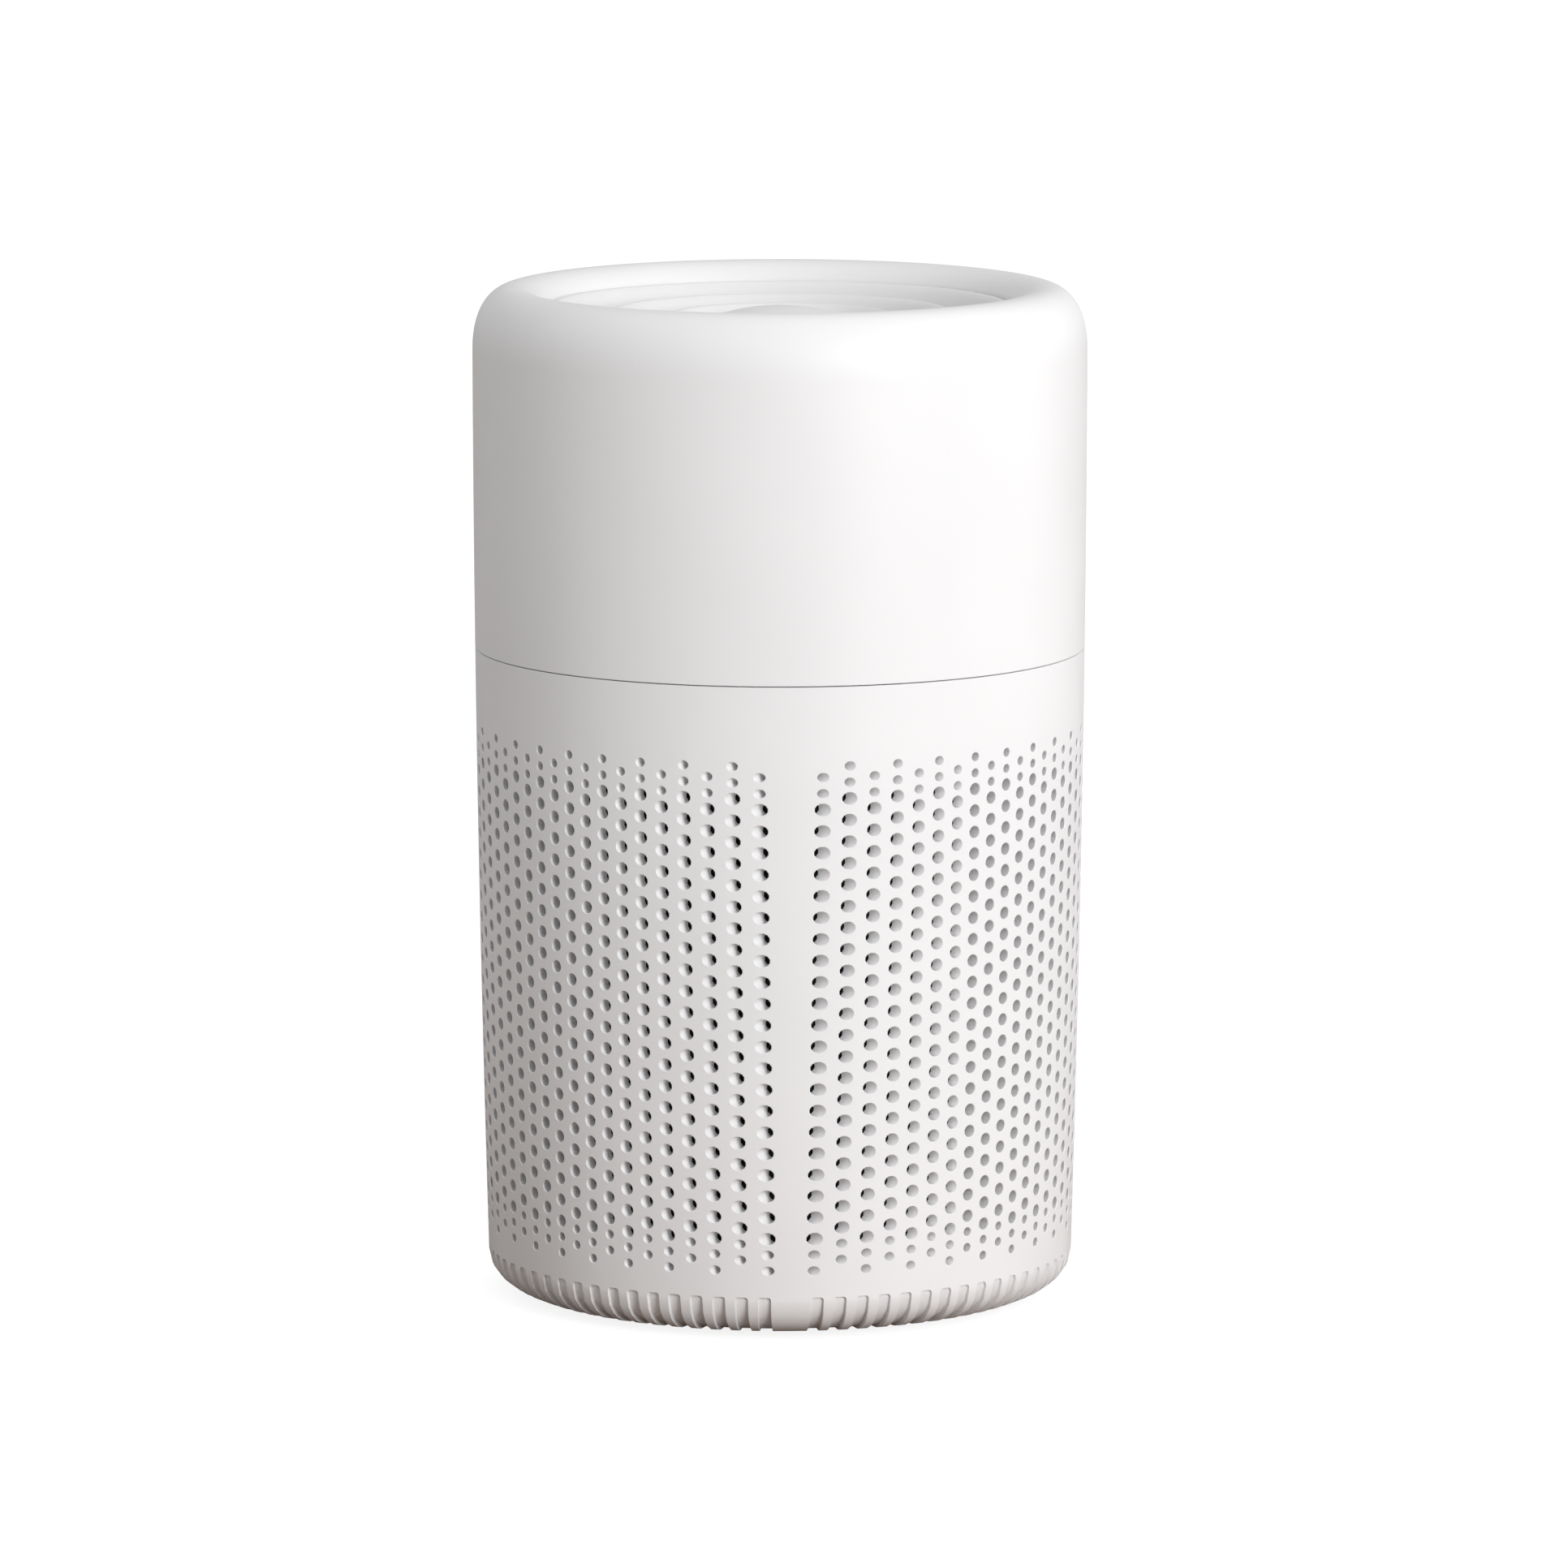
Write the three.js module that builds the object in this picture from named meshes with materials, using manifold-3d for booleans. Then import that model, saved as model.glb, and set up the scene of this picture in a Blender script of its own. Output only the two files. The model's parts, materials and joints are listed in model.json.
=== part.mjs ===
// Cylindrical desktop air purifier, in millimetres, +Z up.
// Origin: middle of the circle that the four feet stand on. The front strip faces -Y.
// Air enters through the lower wall, crosses the filter cartridge, and leaves through the top.
import * as THREE from "three";
import Module from "manifold-3d";
import { mergeVertices } from "three/addons/utils/BufferGeometryUtils.js";

const wasm = await Module();
wasm.setup();

// ---------------------------------------------------------------- driving dimensions
const HEIGHT = 256.2;
const WIDEST_RADIUS = 77.55;
const WIDEST_Z = 242.2;
const BARREL_CURVE = 8453; // radius of the very slight swelling of the side wall
const WALL = 3;
const SEAM_Z = 165;
const GAP = 0.3; // clearance between pieces that touch
const SHELL_SEGMENTS = 48;
const SEGMENTS = 32;

const BASE_Z = 0.8; // underside of the housing, above the bottom of the feet
const BASE_CORNER = { across: 12, high: 9.2 };
const FLOOR_Z = 14;
const FOOT_CIRCLE = 44;
const FOOT_ANGLES = [45, 135, 225, 315];

const CREST_RADIUS = 67.2;
const RIM_HIGH = 16.1;
const BOWL_RADIUS = 59;
const BOWL_CORNER_Z = 249.6;
const BOWL_BOTTOM_Z = 236;
const LOUVRES = [
  { outer: 57.9, inner: 50.8, top: 251.6, drop: 7.8 },
  { outer: 43.0, inner: 35.9, top: 249.9, drop: 7.8 },
  { outer: 28.1, inner: 22.0, top: 249.1, drop: 5.0 },
];
const COLLAR_RADIUS = 22.3;
const DOME_TOP = 251.1;
const DOME_CURVE = 52;
const DOME_RADIUS = 19.9;

const CARTRIDGE_RADIUS = 66;
const CARTRIDGE_BOTTOM = FLOOR_Z + 0.4;
const CAP_THICK = 6;
const MEDIA_BOTTOM = CARTRIDGE_BOTTOM + CAP_THICK + GAP;
const MEDIA_TOP = 147.7;
const TOP_RING_Z = MEDIA_TOP + GAP;
const CORE_RADIUS = 40.8;

const DECK_BOTTOM = 158.5;
const DECK_TOP = 161.5;
const SKIRT_RADIUS = 73.6;
const DECK_SCREW_CIRCLE = 67;
const DECK_SCREW_ANGLES = [22.5, 157.5, 202.5, 337.5];
const PILLAR_CIRCLE = 63;
const PILLAR_ANGLES = [45, 135, 225, 315];
const PILLAR_TOP = 195.8;
const MOUNT_Z = 199.5;
const MOUNT_THICK = 3;
const GRILLE_SCREW_CIRCLE = 68;
const GRILLE_SCREW_ANGLES = [30, 150, 270];
const GRILLE_PLATE_Z = 232.7;

const WHEEL_RADIUS = 56;
const WHEEL_TOP = 196.8;
const BLADE_COUNT = 9;
const SHAFT_RADIUS = 1.6;
const BORE = SHAFT_RADIUS + GAP;
const SCREW_RADIUS = 1.5;
const PILOT = SCREW_RADIUS + GAP;
const BOARD_Y = 66;
const INLET_Z = 178;

// ---------------------------------------------------------------- colours
const WHITE = { color: 0xeceae6, roughness: 0.45, metalness: 0 };
const GREY = { color: 0x9a9c9e, roughness: 0.55, metalness: 0 };
const DARK = { color: 0x2b2d30, roughness: 0.6, metalness: 0 };
const RUBBER = { color: 0x1f1f20, roughness: 0.85, metalness: 0 };
const STEEL = { color: 0xb9bcc0, roughness: 0.3, metalness: 1 };
const PAPER = { color: 0xf2efe6, roughness: 0.95, metalness: 0 };
const CARBON = { color: 0x1b1b1d, roughness: 0.95, metalness: 0 };
const BOARD = { color: 0x1d5b3a, roughness: 0.5, metalness: 0 };

// ---------------------------------------------------------------- solids
const radians = THREE.MathUtils.degToRad;

// A geometry as a closed solid: shared corners merged, empty triangles dropped.
function toSolid(geometry) {
  const plain = geometry.clone();
  plain.deleteAttribute("normal");
  plain.deleteAttribute("uv");
  const merged = mergeVertices(plain, 1e-4);
  const index = merged.index.array;
  const kept = [];
  for (let i = 0; i < index.length; i += 3) {
    const [a, b, c] = [index[i], index[i + 1], index[i + 2]];
    if (a !== b && b !== c && c !== a) kept.push(a, b, c);
  }
  return new wasm.Manifold(new wasm.Mesh({
    numProp: 3,
    vertProperties: new Float32Array(merged.attributes.position.array),
    triVerts: new Uint32Array(kept),
  }));
}

function toGeometry(solid) {
  const mesh = solid.getMesh();
  const geometry = new THREE.BufferGeometry();
  geometry.setAttribute("position", new THREE.BufferAttribute(mesh.vertProperties, 3));
  geometry.setIndex(new THREE.BufferAttribute(mesh.triVerts, 1));
  return geometry;
}

function join(...geometries) {
  let solid = toSolid(geometries[0]);
  for (const next of geometries.slice(1)) solid = solid.add(toSolid(next));
  return toGeometry(solid);
}

function cut(geometry, ...tools) {
  let solid = toSolid(geometry);
  for (const tool of tools) solid = solid.subtract(toSolid(tool));
  return toGeometry(solid);
}

// Turns a closed outline of [radius, z] points about the Z axis.
function turned(outline, segments = SEGMENTS) {
  let doubledArea = 0;
  outline.forEach(([r, z], i) => {
    const [nextR, nextZ] = outline[(i + 1) % outline.length];
    doubledArea += r * nextZ - nextR * z;
  });
  const ordered = doubledArea > 0 ? outline : [...outline].reverse();
  const points = [...ordered, ordered[0]].map(([r, z]) => new THREE.Vector2(r, z));
  return new THREE.LatheGeometry(points, segments).rotateX(Math.PI / 2);
}

function ring(inner, outer, low, high, segments = SEGMENTS) {
  return turned([[inner, low], [outer, low], [outer, high], [inner, high]], segments);
}

function rod(radius, low, high, segments = 12) {
  const geometry = new THREE.CylinderGeometry(radius, radius, high - low, segments);
  return geometry.rotateX(Math.PI / 2).translate(0, 0, (low + high) / 2);
}

function block(sizeX, sizeY, low, high) {
  return new THREE.BoxGeometry(sizeX, sizeY, high - low).translate(0, 0, (low + high) / 2);
}

// A flat outline in X and Y, raised from low to high.
function prism(outline, low, high) {
  const shape = new THREE.Shape(outline.map(([x, y]) => new THREE.Vector2(x, y)));
  const geometry = new THREE.ExtrudeGeometry(shape, { depth: high - low, bevelEnabled: false });
  return geometry.translate(0, 0, low);
}

// A flat outline in radius and Z, of even thickness, standing in the plane of +X and +Z.
function rib(outline, thickness) {
  return prism(outline, -thickness / 2, thickness / 2).rotateX(Math.PI / 2);
}

function atAngle(geometry, circle, degrees) {
  return geometry.translate(circle, 0, 0).rotateZ(radians(degrees));
}

// A round wire or lead along a smooth route.
function wire(points, radius, steps, sides = 6) {
  const section = new THREE.Shape();
  for (let i = 0; i < sides; i += 1) {
    const turn = (2 * Math.PI * i) / sides;
    const move = i === 0 ? "moveTo" : "lineTo";
    section[move](radius * Math.cos(turn), radius * Math.sin(turn));
  }
  const route = new THREE.CatmullRomCurve3(points.map((point) => new THREE.Vector3(...point)));
  return new THREE.ExtrudeGeometry(section, { steps, bevelEnabled: false, extrudePath: route });
}

// Points of a quarter oval about (centreR, centreZ), from one angle to another, in degrees.
function oval(centreR, centreZ, across, high, from, to, steps, power = 2) {
  const points = [];
  for (let i = 0; i <= steps; i += 1) {
    const turn = radians(from + ((to - from) * i) / steps);
    const [c, s] = [Math.cos(turn), Math.sin(turn)];
    points.push([
      centreR + across * Math.sign(c) * Math.abs(c) ** (2 / power),
      centreZ + high * Math.sign(s) * Math.abs(s) ** (2 / power),
    ]);
  }
  return points;
}

// Outer radius of the side wall at height z.
function sideRadius(z) {
  const below = WIDEST_Z - Math.min(z, WIDEST_Z);
  return WIDEST_RADIUS - below ** 2 / (2 * BARREL_CURVE);
}

function sideWall(from, to, steps, inset = 0) {
  const points = [];
  for (let i = 0; i <= steps; i += 1) {
    const z = from + ((to - from) * i) / steps;
    points.push([sideRadius(z) - inset, z]);
  }
  return points;
}

const part = new THREE.Group();

function add(name, geometry, finish) {
  const mesh = new THREE.Mesh(toGeometry(toSolid(geometry)), new THREE.MeshStandardMaterial(finish));
  mesh.name = name;
  part.add(mesh);
  return mesh;
}

// A pan-head screw on the Z axis, head up, with the underside of the head at z = 0.
function screw(length, headRadius = 3.2, headHigh = 2.4, radius = SCREW_RADIUS) {
  return turned([
    [0, -length], [radius, -length], [radius, 0], [headRadius, 0],
    [headRadius * 0.8, headHigh], [0, headHigh],
  ], 8);
}

// ---------------------------------------------------------------- lower housing and feet
// One moulding: floor, rounded base edge and side wall. The wall is plain here: its 1,900
// small round intake holes and the 76 grooves of the base edge are too fine for this solid.
function lowerHousing() {
  const seam = SEAM_Z - GAP / 2;
  const cornerTop = BASE_Z + BASE_CORNER.high;
  const cornerCentre = sideRadius(cornerTop) - BASE_CORNER.across;
  const shell = turned([
    [0, 11], [55.5, 11], [56.5, BASE_Z],
    ...oval(cornerCentre, cornerTop, BASE_CORNER.across, -BASE_CORNER.high, 90, 0, 4),
    ...sideWall(60, seam, 2),
    ...sideWall(seam, FLOOR_Z, 2, WALL),
    [69, FLOOR_Z], [69, 18], [67, 18], [67, FLOOR_Z], [0, FLOOR_Z],
  ], SHELL_SEGMENTS);
  const bosses = FOOT_ANGLES.map((angle) => atAngle(rod(8.5, 2.5, 12), FOOT_CIRCLE, angle));
  return join(shell, ...bosses);
}

function buildBase() {
  add("lower_housing", lowerHousing(), WHITE);
  FOOT_ANGLES.forEach((angle, i) => {
    const foot = turned([[0, 0], [6.4, 0], [7.2, 0.8], [7.2, 2.2], [0, 2.2]], 16);
    add(`foot_${i + 1}`, atAngle(foot, FOOT_CIRCLE, angle), RUBBER);
  });
}

// ---------------------------------------------------------------- filter cartridge
function buildFilter() {
  const capTop = CARTRIDGE_BOTTOM + CAP_THICK;
  add("filter_bottom_cap", turned([
    [0, CARTRIDGE_BOTTOM], [64.8, CARTRIDGE_BOTTOM], [CARTRIDGE_RADIUS, CARTRIDGE_BOTTOM + 1.2],
    [CARTRIDGE_RADIUS, capTop], [0, capTop],
  ]), GREY);
  add("filter_top_ring", turned([
    [CORE_RADIUS - 0.3, TOP_RING_Z], [CARTRIDGE_RADIUS, TOP_RING_Z],
    [CARTRIDGE_RADIUS, TOP_RING_Z + 4.8], [64.8, TOP_RING_Z + CAP_THICK],
    [CORE_RADIUS - 0.3, TOP_RING_Z + CAP_THICK],
  ]), GREY);
  const windows = [];
  for (let i = 0; i < 3; i += 1) {
    windows.push(block(100, 22, MEDIA_BOTTOM + 10, 80).rotateZ(radians(60 * i + 30)));
    windows.push(block(100, 22, 86, 112).rotateZ(radians(60 * i + 30)));
  }
  const core = ring(CORE_RADIUS, CORE_RADIUS + 2, MEDIA_BOTTOM, MEDIA_TOP);
  add("filter_core", cut(core, ...windows), WHITE);

  // The medium is one folded sheet, about 0.8 mm thick, zigzagging between core and sleeve.
  const pleats = 40;
  const [low, high, thick] = [44.6, 57.6, 1.3];
  const outerSide = [];
  const innerSide = [];
  for (let i = 0; i < 2 * pleats; i += 1) {
    const turn = (Math.PI * i) / pleats;
    const radius = i % 2 === 0 ? low : high;
    const direction = new THREE.Vector2(Math.cos(turn), Math.sin(turn));
    outerSide.push(direction.clone().multiplyScalar(radius + thick));
    innerSide.push(direction.clone().multiplyScalar(radius - thick));
  }
  const sheet = new THREE.Shape(outerSide);
  sheet.holes.push(new THREE.Path(innerSide.reverse()));
  const medium = new THREE.ExtrudeGeometry(sheet, { depth: MEDIA_TOP - MEDIA_BOTTOM, bevelEnabled: false });
  add("hepa_media", medium.translate(0, 0, MEDIA_BOTTOM), PAPER);
  add("carbon_sleeve", ring(59.6, 61.8, MEDIA_BOTTOM, MEDIA_TOP), CARBON);
  add("prefilter_mesh", ring(62.5, 63.6, MEDIA_BOTTOM, MEDIA_TOP), DARK);
  add("filter_gasket", ring(43.5, 50, TOP_RING_Z + CAP_THICK + GAP, DECK_BOTTOM - GAP, 32), RUBBER);

  // Lifting strap: a webbing band slung across the core, its ends bonded inside the core.
  const [reach, end, shoulder, sag, band] = [39.6, 118, 138, 132, 1.1];
  const upper = [[-reach, end], [-reach, shoulder]];
  const lower = [[-reach + band, end], [-reach + band, shoulder - band]];
  for (let i = 1; i < 8; i += 1) {
    const x = -reach + (2 * reach * i) / 8;
    const z = sag + (shoulder - sag) * (x / reach) ** 2;
    upper.push([x, z]);
    lower.push([x, z - band]);
  }
  upper.push([reach, shoulder], [reach, end]);
  lower.push([reach - band, shoulder - band], [reach - band, end]);
  add("pull_strap", rib([...upper, ...lower.reverse()], 14), DARK);
  add("interlock_magnet", rod(4, TOP_RING_Z + CAP_THICK + GAP, 157.3).translate(0, 60.5, 0), STEEL);
}

// ---------------------------------------------------------------- upper housing
// One moulding: side wall, full-round rim, and the bowl that falls from it to the louvres.
function upperHousing() {
  const seam = SEAM_Z + GAP / 2;
  const rimStart = HEIGHT - RIM_HIGH;
  const rimAcross = WIDEST_RADIUS - CREST_RADIUS;
  const bowlAcross = CREST_RADIUS - BOWL_RADIUS;
  const bowlHigh = HEIGHT - BOWL_CORNER_Z;
  const shell = turned([
    ...sideWall(seam, rimStart, 1),
    ...oval(CREST_RADIUS, rimStart, rimAcross, RIM_HIGH, 0, 90, 6, 2.25).slice(1),
    ...oval(CREST_RADIUS, BOWL_CORNER_Z, bowlAcross, bowlHigh, 90, 180, 4).slice(1),
    [BOWL_RADIUS, BOWL_BOTTOM_Z], [BOWL_RADIUS + WALL, BOWL_BOTTOM_Z],
    ...oval(CREST_RADIUS, BOWL_CORNER_Z, bowlAcross - WALL, bowlHigh - WALL, 180, 90, 2),
    ...oval(CREST_RADIUS, rimStart, rimAcross - WALL, RIM_HIGH - WALL, 90, 0, 3, 2.25).slice(1),
    [sideRadius(seam) - WALL, seam],
  ], SHELL_SEGMENTS);
  const pieces = [];
  const bores = [];
  for (const angle of DECK_SCREW_ANGLES) {
    pieces.push(atAngle(rod(3.8, DECK_TOP + GAP, 182, 10), DECK_SCREW_CIRCLE, angle));
    pieces.push(atAngle(block(9, 2.4, 168.8, 182), DECK_SCREW_CIRCLE + 3.8, angle));
    bores.push(atAngle(rod(PILOT, 160, 174, 12), DECK_SCREW_CIRCLE, angle));
  }
  for (const angle of GRILLE_SCREW_ANGLES) {
    pieces.push(atAngle(rod(3.4, BOWL_BOTTOM_Z, 254.2, 10), GRILLE_SCREW_CIRCLE, angle));
    bores.push(atAngle(rod(PILOT, BOWL_BOTTOM_Z - 1, 248, 12), GRILLE_SCREW_CIRCLE, angle));
  }
  for (const side of [-14, 14]) {
    pieces.push(alongY(rod(3, 68, 75), side, 188));
    bores.push(alongY(rod(1.2, 67, 73, 12), side, 188));
  }
  bores.push(alongY(rod(4.4, 70, 80, 16), 0, INLET_Z));
  return cut(join(shell, ...pieces), ...bores);
}

// Lays a solid made along +Z so that it runs along +Y, at the given x and z.
function alongY(geometry, x, z) {
  return geometry.rotateX(-Math.PI / 2).translate(x, 0, z);
}

// ---------------------------------------------------------------- outlet grille
// Three cone-shaped louvre rings on six spokes, round a collar that holds the button.
function outletGrille() {
  const plateTop = GRILLE_PLATE_Z + 3;
  const hubFloor = 229.5;
  const collarTop = 244.6;
  const solids = [ring(56, 70.5, GRILLE_PLATE_Z, plateTop)];
  for (const { outer, inner, top, drop } of LOUVRES) {
    solids.push(turned([
      [outer, top - 0.5], [outer - 1, top], [outer - 2.2, top - 0.9], [inner, top - drop],
      [inner, top - drop - 1.6], [outer - 0.5, top - 2.2],
    ]));
  }
  solids.push(turned([
    [0, hubFloor], [COLLAR_RADIUS, hubFloor], [COLLAR_RADIUS, collarTop],
    [DOME_RADIUS + 0.4, collarTop], [DOME_RADIUS + 0.4, hubFloor + 2], [0, hubFloor + 2],
  ], 32));
  for (let i = 0; i < 6; i += 1) {
    const spoke = rib([[21, 234], [58, GRILLE_PLATE_Z + 0.6], [58, 244.2], [21, 240]], 2);
    solids.push(atAngle(spoke, 0, 60 * i));
  }
  const bosses = [-13, 13].map((x) => rod(2.6, hubFloor + 1, 233.7, 12).translate(x, 0, 0));
  const bores = GRILLE_SCREW_ANGLES.map((angle) => (
    atAngle(rod(BORE, GRILLE_PLATE_Z - 1, plateTop + 1, 12), GRILLE_SCREW_CIRCLE, angle)));
  for (const x of [-13, 13]) bores.push(rod(1.2, 231.6, 235, 10).translate(x, 0, 0));
  bores.push(rod(2, hubFloor - 1, hubFloor + 3, 12).translate(0, 10, 0));
  return cut(join(...solids, ...bosses), ...bores);
}

// ---------------------------------------------------------------- power button and its board
// The dome is a spherical cap with a skirt that slides in the collar and a stem that
// reaches the switch.
function buttonCap() {
  const surface = (r, inset) => {
    const sphere = DOME_CURVE - inset;
    return DOME_TOP - inset - (sphere - Math.sqrt(sphere ** 2 - r ** 2));
  };
  const outside = [0, 7, 14, DOME_RADIUS].map((r) => [r, surface(r, 0)]);
  const inside = [18.2, 10, 2.5].map((r) => [r, surface(r, 1.8)]);
  return turned([
    ...outside.reverse(), [0, 241.9], [2.5, 241.9], ...inside.reverse(),
    [18.2, 239], [DOME_RADIUS, 239],
  ], 24);
}

function buildControls() {
  add("outlet_grille", outletGrille(), WHITE);
  for (const [i, angle] of GRILLE_SCREW_ANGLES.entries()) {
    const fastener = screw(13, 3, 2.4).rotateX(Math.PI).translate(0, 0, GRILLE_PLATE_Z - GAP);
    add(`grille_screw_${i + 1}`, atAngle(fastener, GRILLE_SCREW_CIRCLE, angle), STEEL);
  }
  add("button_cap", buttonCap(), WHITE);
  const coil = [];
  for (let i = 0; i <= 32; i += 1) {
    const turn = (2 * Math.PI * i) / 8;
    coil.push([6 * Math.cos(turn), 6 * Math.sin(turn), 236.5 + (11.6 * i) / 32]);
  }
  add("button_spring", wire(coil, 0.45, 40, 5), STEEL);
  const drill = [-13, 13].map((x) => rod(1.2, 233, 237, 10).translate(x, 0, 0));
  add("control_board", cut(rod(17.4, 234, 235.6, 32), ...drill), BOARD);
  [-13, 13].forEach((x, i) => {
    const fastener = screw(3.8, 2.2, 1.5, 0.9).translate(x, 0, 235.9);
    add(`board_screw_${i + 1}`, fastener, STEEL);
  });
  add("tact_switch", join(block(6, 6, 235.9, 239.4), rod(1.7, 239, 240.2)), DARK);
}

// ---------------------------------------------------------------- fan deck
// Closes the filter space, carries the fan, and its skirt centres the unit in the lower wall.
function fanDeck() {
  const solids = [
    turned([
      [SKIRT_RADIUS, 154.5], [SKIRT_RADIUS, 168], [72, 168], [72, DECK_TOP], [45, DECK_TOP],
      ...oval(45, 167.5, 7.5, 6, 270, 180, 3), [35.5, 167.5], [35.5, 162], [37, 157],
      [37, 150.5], [39, 150.5],
      [39, DECK_BOTTOM], [71.6, DECK_BOTTOM], [71.6, 154.5],
    ]),
    ...PILLAR_ANGLES.map((angle) => atAngle(rod(4.5, DECK_TOP - 1, PILLAR_TOP), PILLAR_CIRCLE, angle)),
  ];
  const bores = PILLAR_ANGLES.map((angle) => (
    atAngle(rod(PILOT, 184, PILLAR_TOP + 1, 12), PILLAR_CIRCLE, angle)));
  for (const angle of DECK_SCREW_ANGLES) {
    bores.push(atAngle(rod(BORE, DECK_BOTTOM - 1, DECK_TOP + 1, 12), DECK_SCREW_CIRCLE, angle));
  }
  return cut(join(...solids), ...bores);
}

function inletGuard() {
  const solids = [[34.4, 36.4], [17, 18.6]].map(([inner, outer]) => (
    ring(inner, outer, 152, 154, 24)));
  for (let i = 0; i < 3; i += 1) solids.push(block(70, 1.6, 152, 154).rotateZ(radians(60 * i)));
  return join(...solids);
}

function buildDeck() {
  add("fan_deck", fanDeck(), GREY);
  DECK_SCREW_ANGLES.forEach((angle, i) => {
    const fastener = screw(13).rotateX(Math.PI).translate(0, 0, DECK_BOTTOM - GAP);
    add(`deck_screw_${i + 1}`, atAngle(fastener, DECK_SCREW_CIRCLE, angle), STEEL);
  });
  add("inlet_guard", inletGuard(), DARK);
}

// ---------------------------------------------------------------- fan and motor
// Outline of a blade that leans back by sweep degrees from its inner to its outer radius.
function bladeOutline(inner, outer, sweep, thickness) {
  const steps = 3;
  const leading = [];
  const trailing = [];
  for (let i = 0; i <= steps; i += 1) {
    const radius = inner + ((outer - inner) * i) / steps;
    const turn = radians(-sweep * (i / steps));
    const half = thickness / 2 / radius;
    leading.push([radius * Math.cos(turn + half), radius * Math.sin(turn + half)]);
    trailing.push([radius * Math.cos(turn - half), radius * Math.sin(turn - half)]);
  }
  return [...trailing, ...leading.reverse()];
}

function impeller() {
  const hub = turned([
    [BORE, 177.5], [21.5, 177.5], [23.5, 180], [24.2, 194.8], [WHEEL_RADIUS, 194.8],
    [WHEEL_RADIUS, WHEEL_TOP], [22.2, WHEEL_TOP], [22.2, 180.5], [BORE, 180.5],
  ]);
  const shroud = turned([
    [38.5, 166.2], [40, 166.2], [41.5, 168.6], [WHEEL_RADIUS, 173.4], [WHEEL_RADIUS, 175],
    [40.5, 170.2], [38.5, 168],
  ]);
  const outline = bladeOutline(26, 55.4, 42, 1.6);
  const blades = [];
  for (let i = 0; i < BLADE_COUNT; i += 1) {
    blades.push(prism(outline, 168.8, 195.4).rotateZ(radians((360 / BLADE_COUNT) * i)));
  }
  const belowShroud = turned([
    [38.4, 160], [60, 160], [60, 175.4], [WHEEL_RADIUS, 174.2], [41, 169.4], [38.4, 167.4],
  ]);
  const wheel = blades.map((blade) => cut(blade, belowShroud));
  return join(hub, shroud, ...wheel);
}

// Nine laminated teeth with wound coils, as one overmoulded block.
function stator() {
  const outline = [];
  for (let i = 0; i < 9; i += 1) {
    for (const [radius, offset] of [[17.6, -15], [17.6, 0], [17.6, 15], [10.5, 17.5], [10.5, 22.5]]) {
      const turn = radians(40 * i + offset);
      outline.push([radius * Math.cos(turn), radius * Math.sin(turn)]);
    }
  }
  return cut(prism(outline, 184.5, 195), rod(7, 183, 197, 24));
}

function motorMount() {
  const top = MOUNT_Z + MOUNT_THICK;
  const solids = [
    turned([
      [5.3, 183.8], [6.6, 183.8], [6.6, MOUNT_Z], [27, MOUNT_Z], [27, top], [0, top],
      [0, 200.5], [5.3, 200.5],
    ], 32),
    ring(60, 66, MOUNT_Z, top),
  ];
  for (let i = 0; i < 7; i += 1) {
    const vane = rib([[25.5, MOUNT_Z], [61, MOUNT_Z], [61, 205], [56, 209], [25.5, 209]], 2);
    solids.push(atAngle(vane, 0, 90 + (360 / 7) * (i + 0.5)));
  }
  for (const angle of PILLAR_ANGLES) {
    solids.push(atAngle(rod(5.5, MOUNT_Z, top), PILLAR_CIRCLE, angle));
  }
  const bores = PILLAR_ANGLES.map((angle) => (
    atAngle(rod(BORE, MOUNT_Z - 1, top + 1, 12), PILLAR_CIRCLE, angle)));
  bores.push(rod(2, MOUNT_Z - 1, top + 1, 12).translate(0, 12, 0));
  return cut(join(...solids), ...bores);
}

function buildFan() {
  add("impeller", impeller(), DARK);
  add("rotor_can", turned([
    [BORE, 180.8], [21.8, 180.8], [21.8, 196.4], [20.5, 196.4], [20.5, 182.3], [BORE, 182.3],
  ], 32), STEEL);
  add("rotor_magnet", ring(18.3, 20.1, 183.5, 195.5, 32), CARBON);
  add("motor_shaft", rod(SHAFT_RADIUS, 174.4, 199), STEEL);
  add("shaft_nut", ring(BORE, 4.5, 173.6, 177.2, 6), STEEL);
  add("stator", stator(), DARK);
  add("bearing_lower", ring(BORE, 5, 184.2, 188.2, 12), STEEL);
  add("bearing_upper", ring(BORE, 5, 193, 197, 12), STEEL);
  add("motor_mount", motorMount(), GREY);
  PILLAR_ANGLES.forEach((angle, i) => {
    const isolator = ring(BORE, 5.2, PILLAR_TOP + GAP, MOUNT_Z - GAP, 12);
    add(`isolator_${i + 1}`, atAngle(isolator, PILLAR_CIRCLE, angle), RUBBER);
    const fastener = screw(17.5).translate(0, 0, MOUNT_Z + MOUNT_THICK + GAP);
    add(`mount_screw_${i + 1}`, atAngle(fastener, PILLAR_CIRCLE, angle), STEEL);
  });
}

// ---------------------------------------------------------------- power and control
// A board on the rear wall carries the inlet; leads go from it to the motor and the button.
function driverBoard() {
  const board = block(36, 1.6, 171, 194).translate(0, BOARD_Y + 0.8, 0);
  const solids = [
    block(16, 4.8, 188, 193.4).translate(0, BOARD_Y + 3.4, 0),
    block(12, 4, 173, 183).translate(-9, BOARD_Y - 1.5, 0),
    block(8, 3, 173, 183).translate(8, BOARD_Y - 1, 0),
    alongY(rod(3, 61.5, 67, 14), 4, 187),
  ];
  const bores = [-14, 14].map((x) => alongY(rod(1.2, 65, 69, 10), x, 188));
  return cut(join(board, ...solids), ...bores);
}

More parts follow.
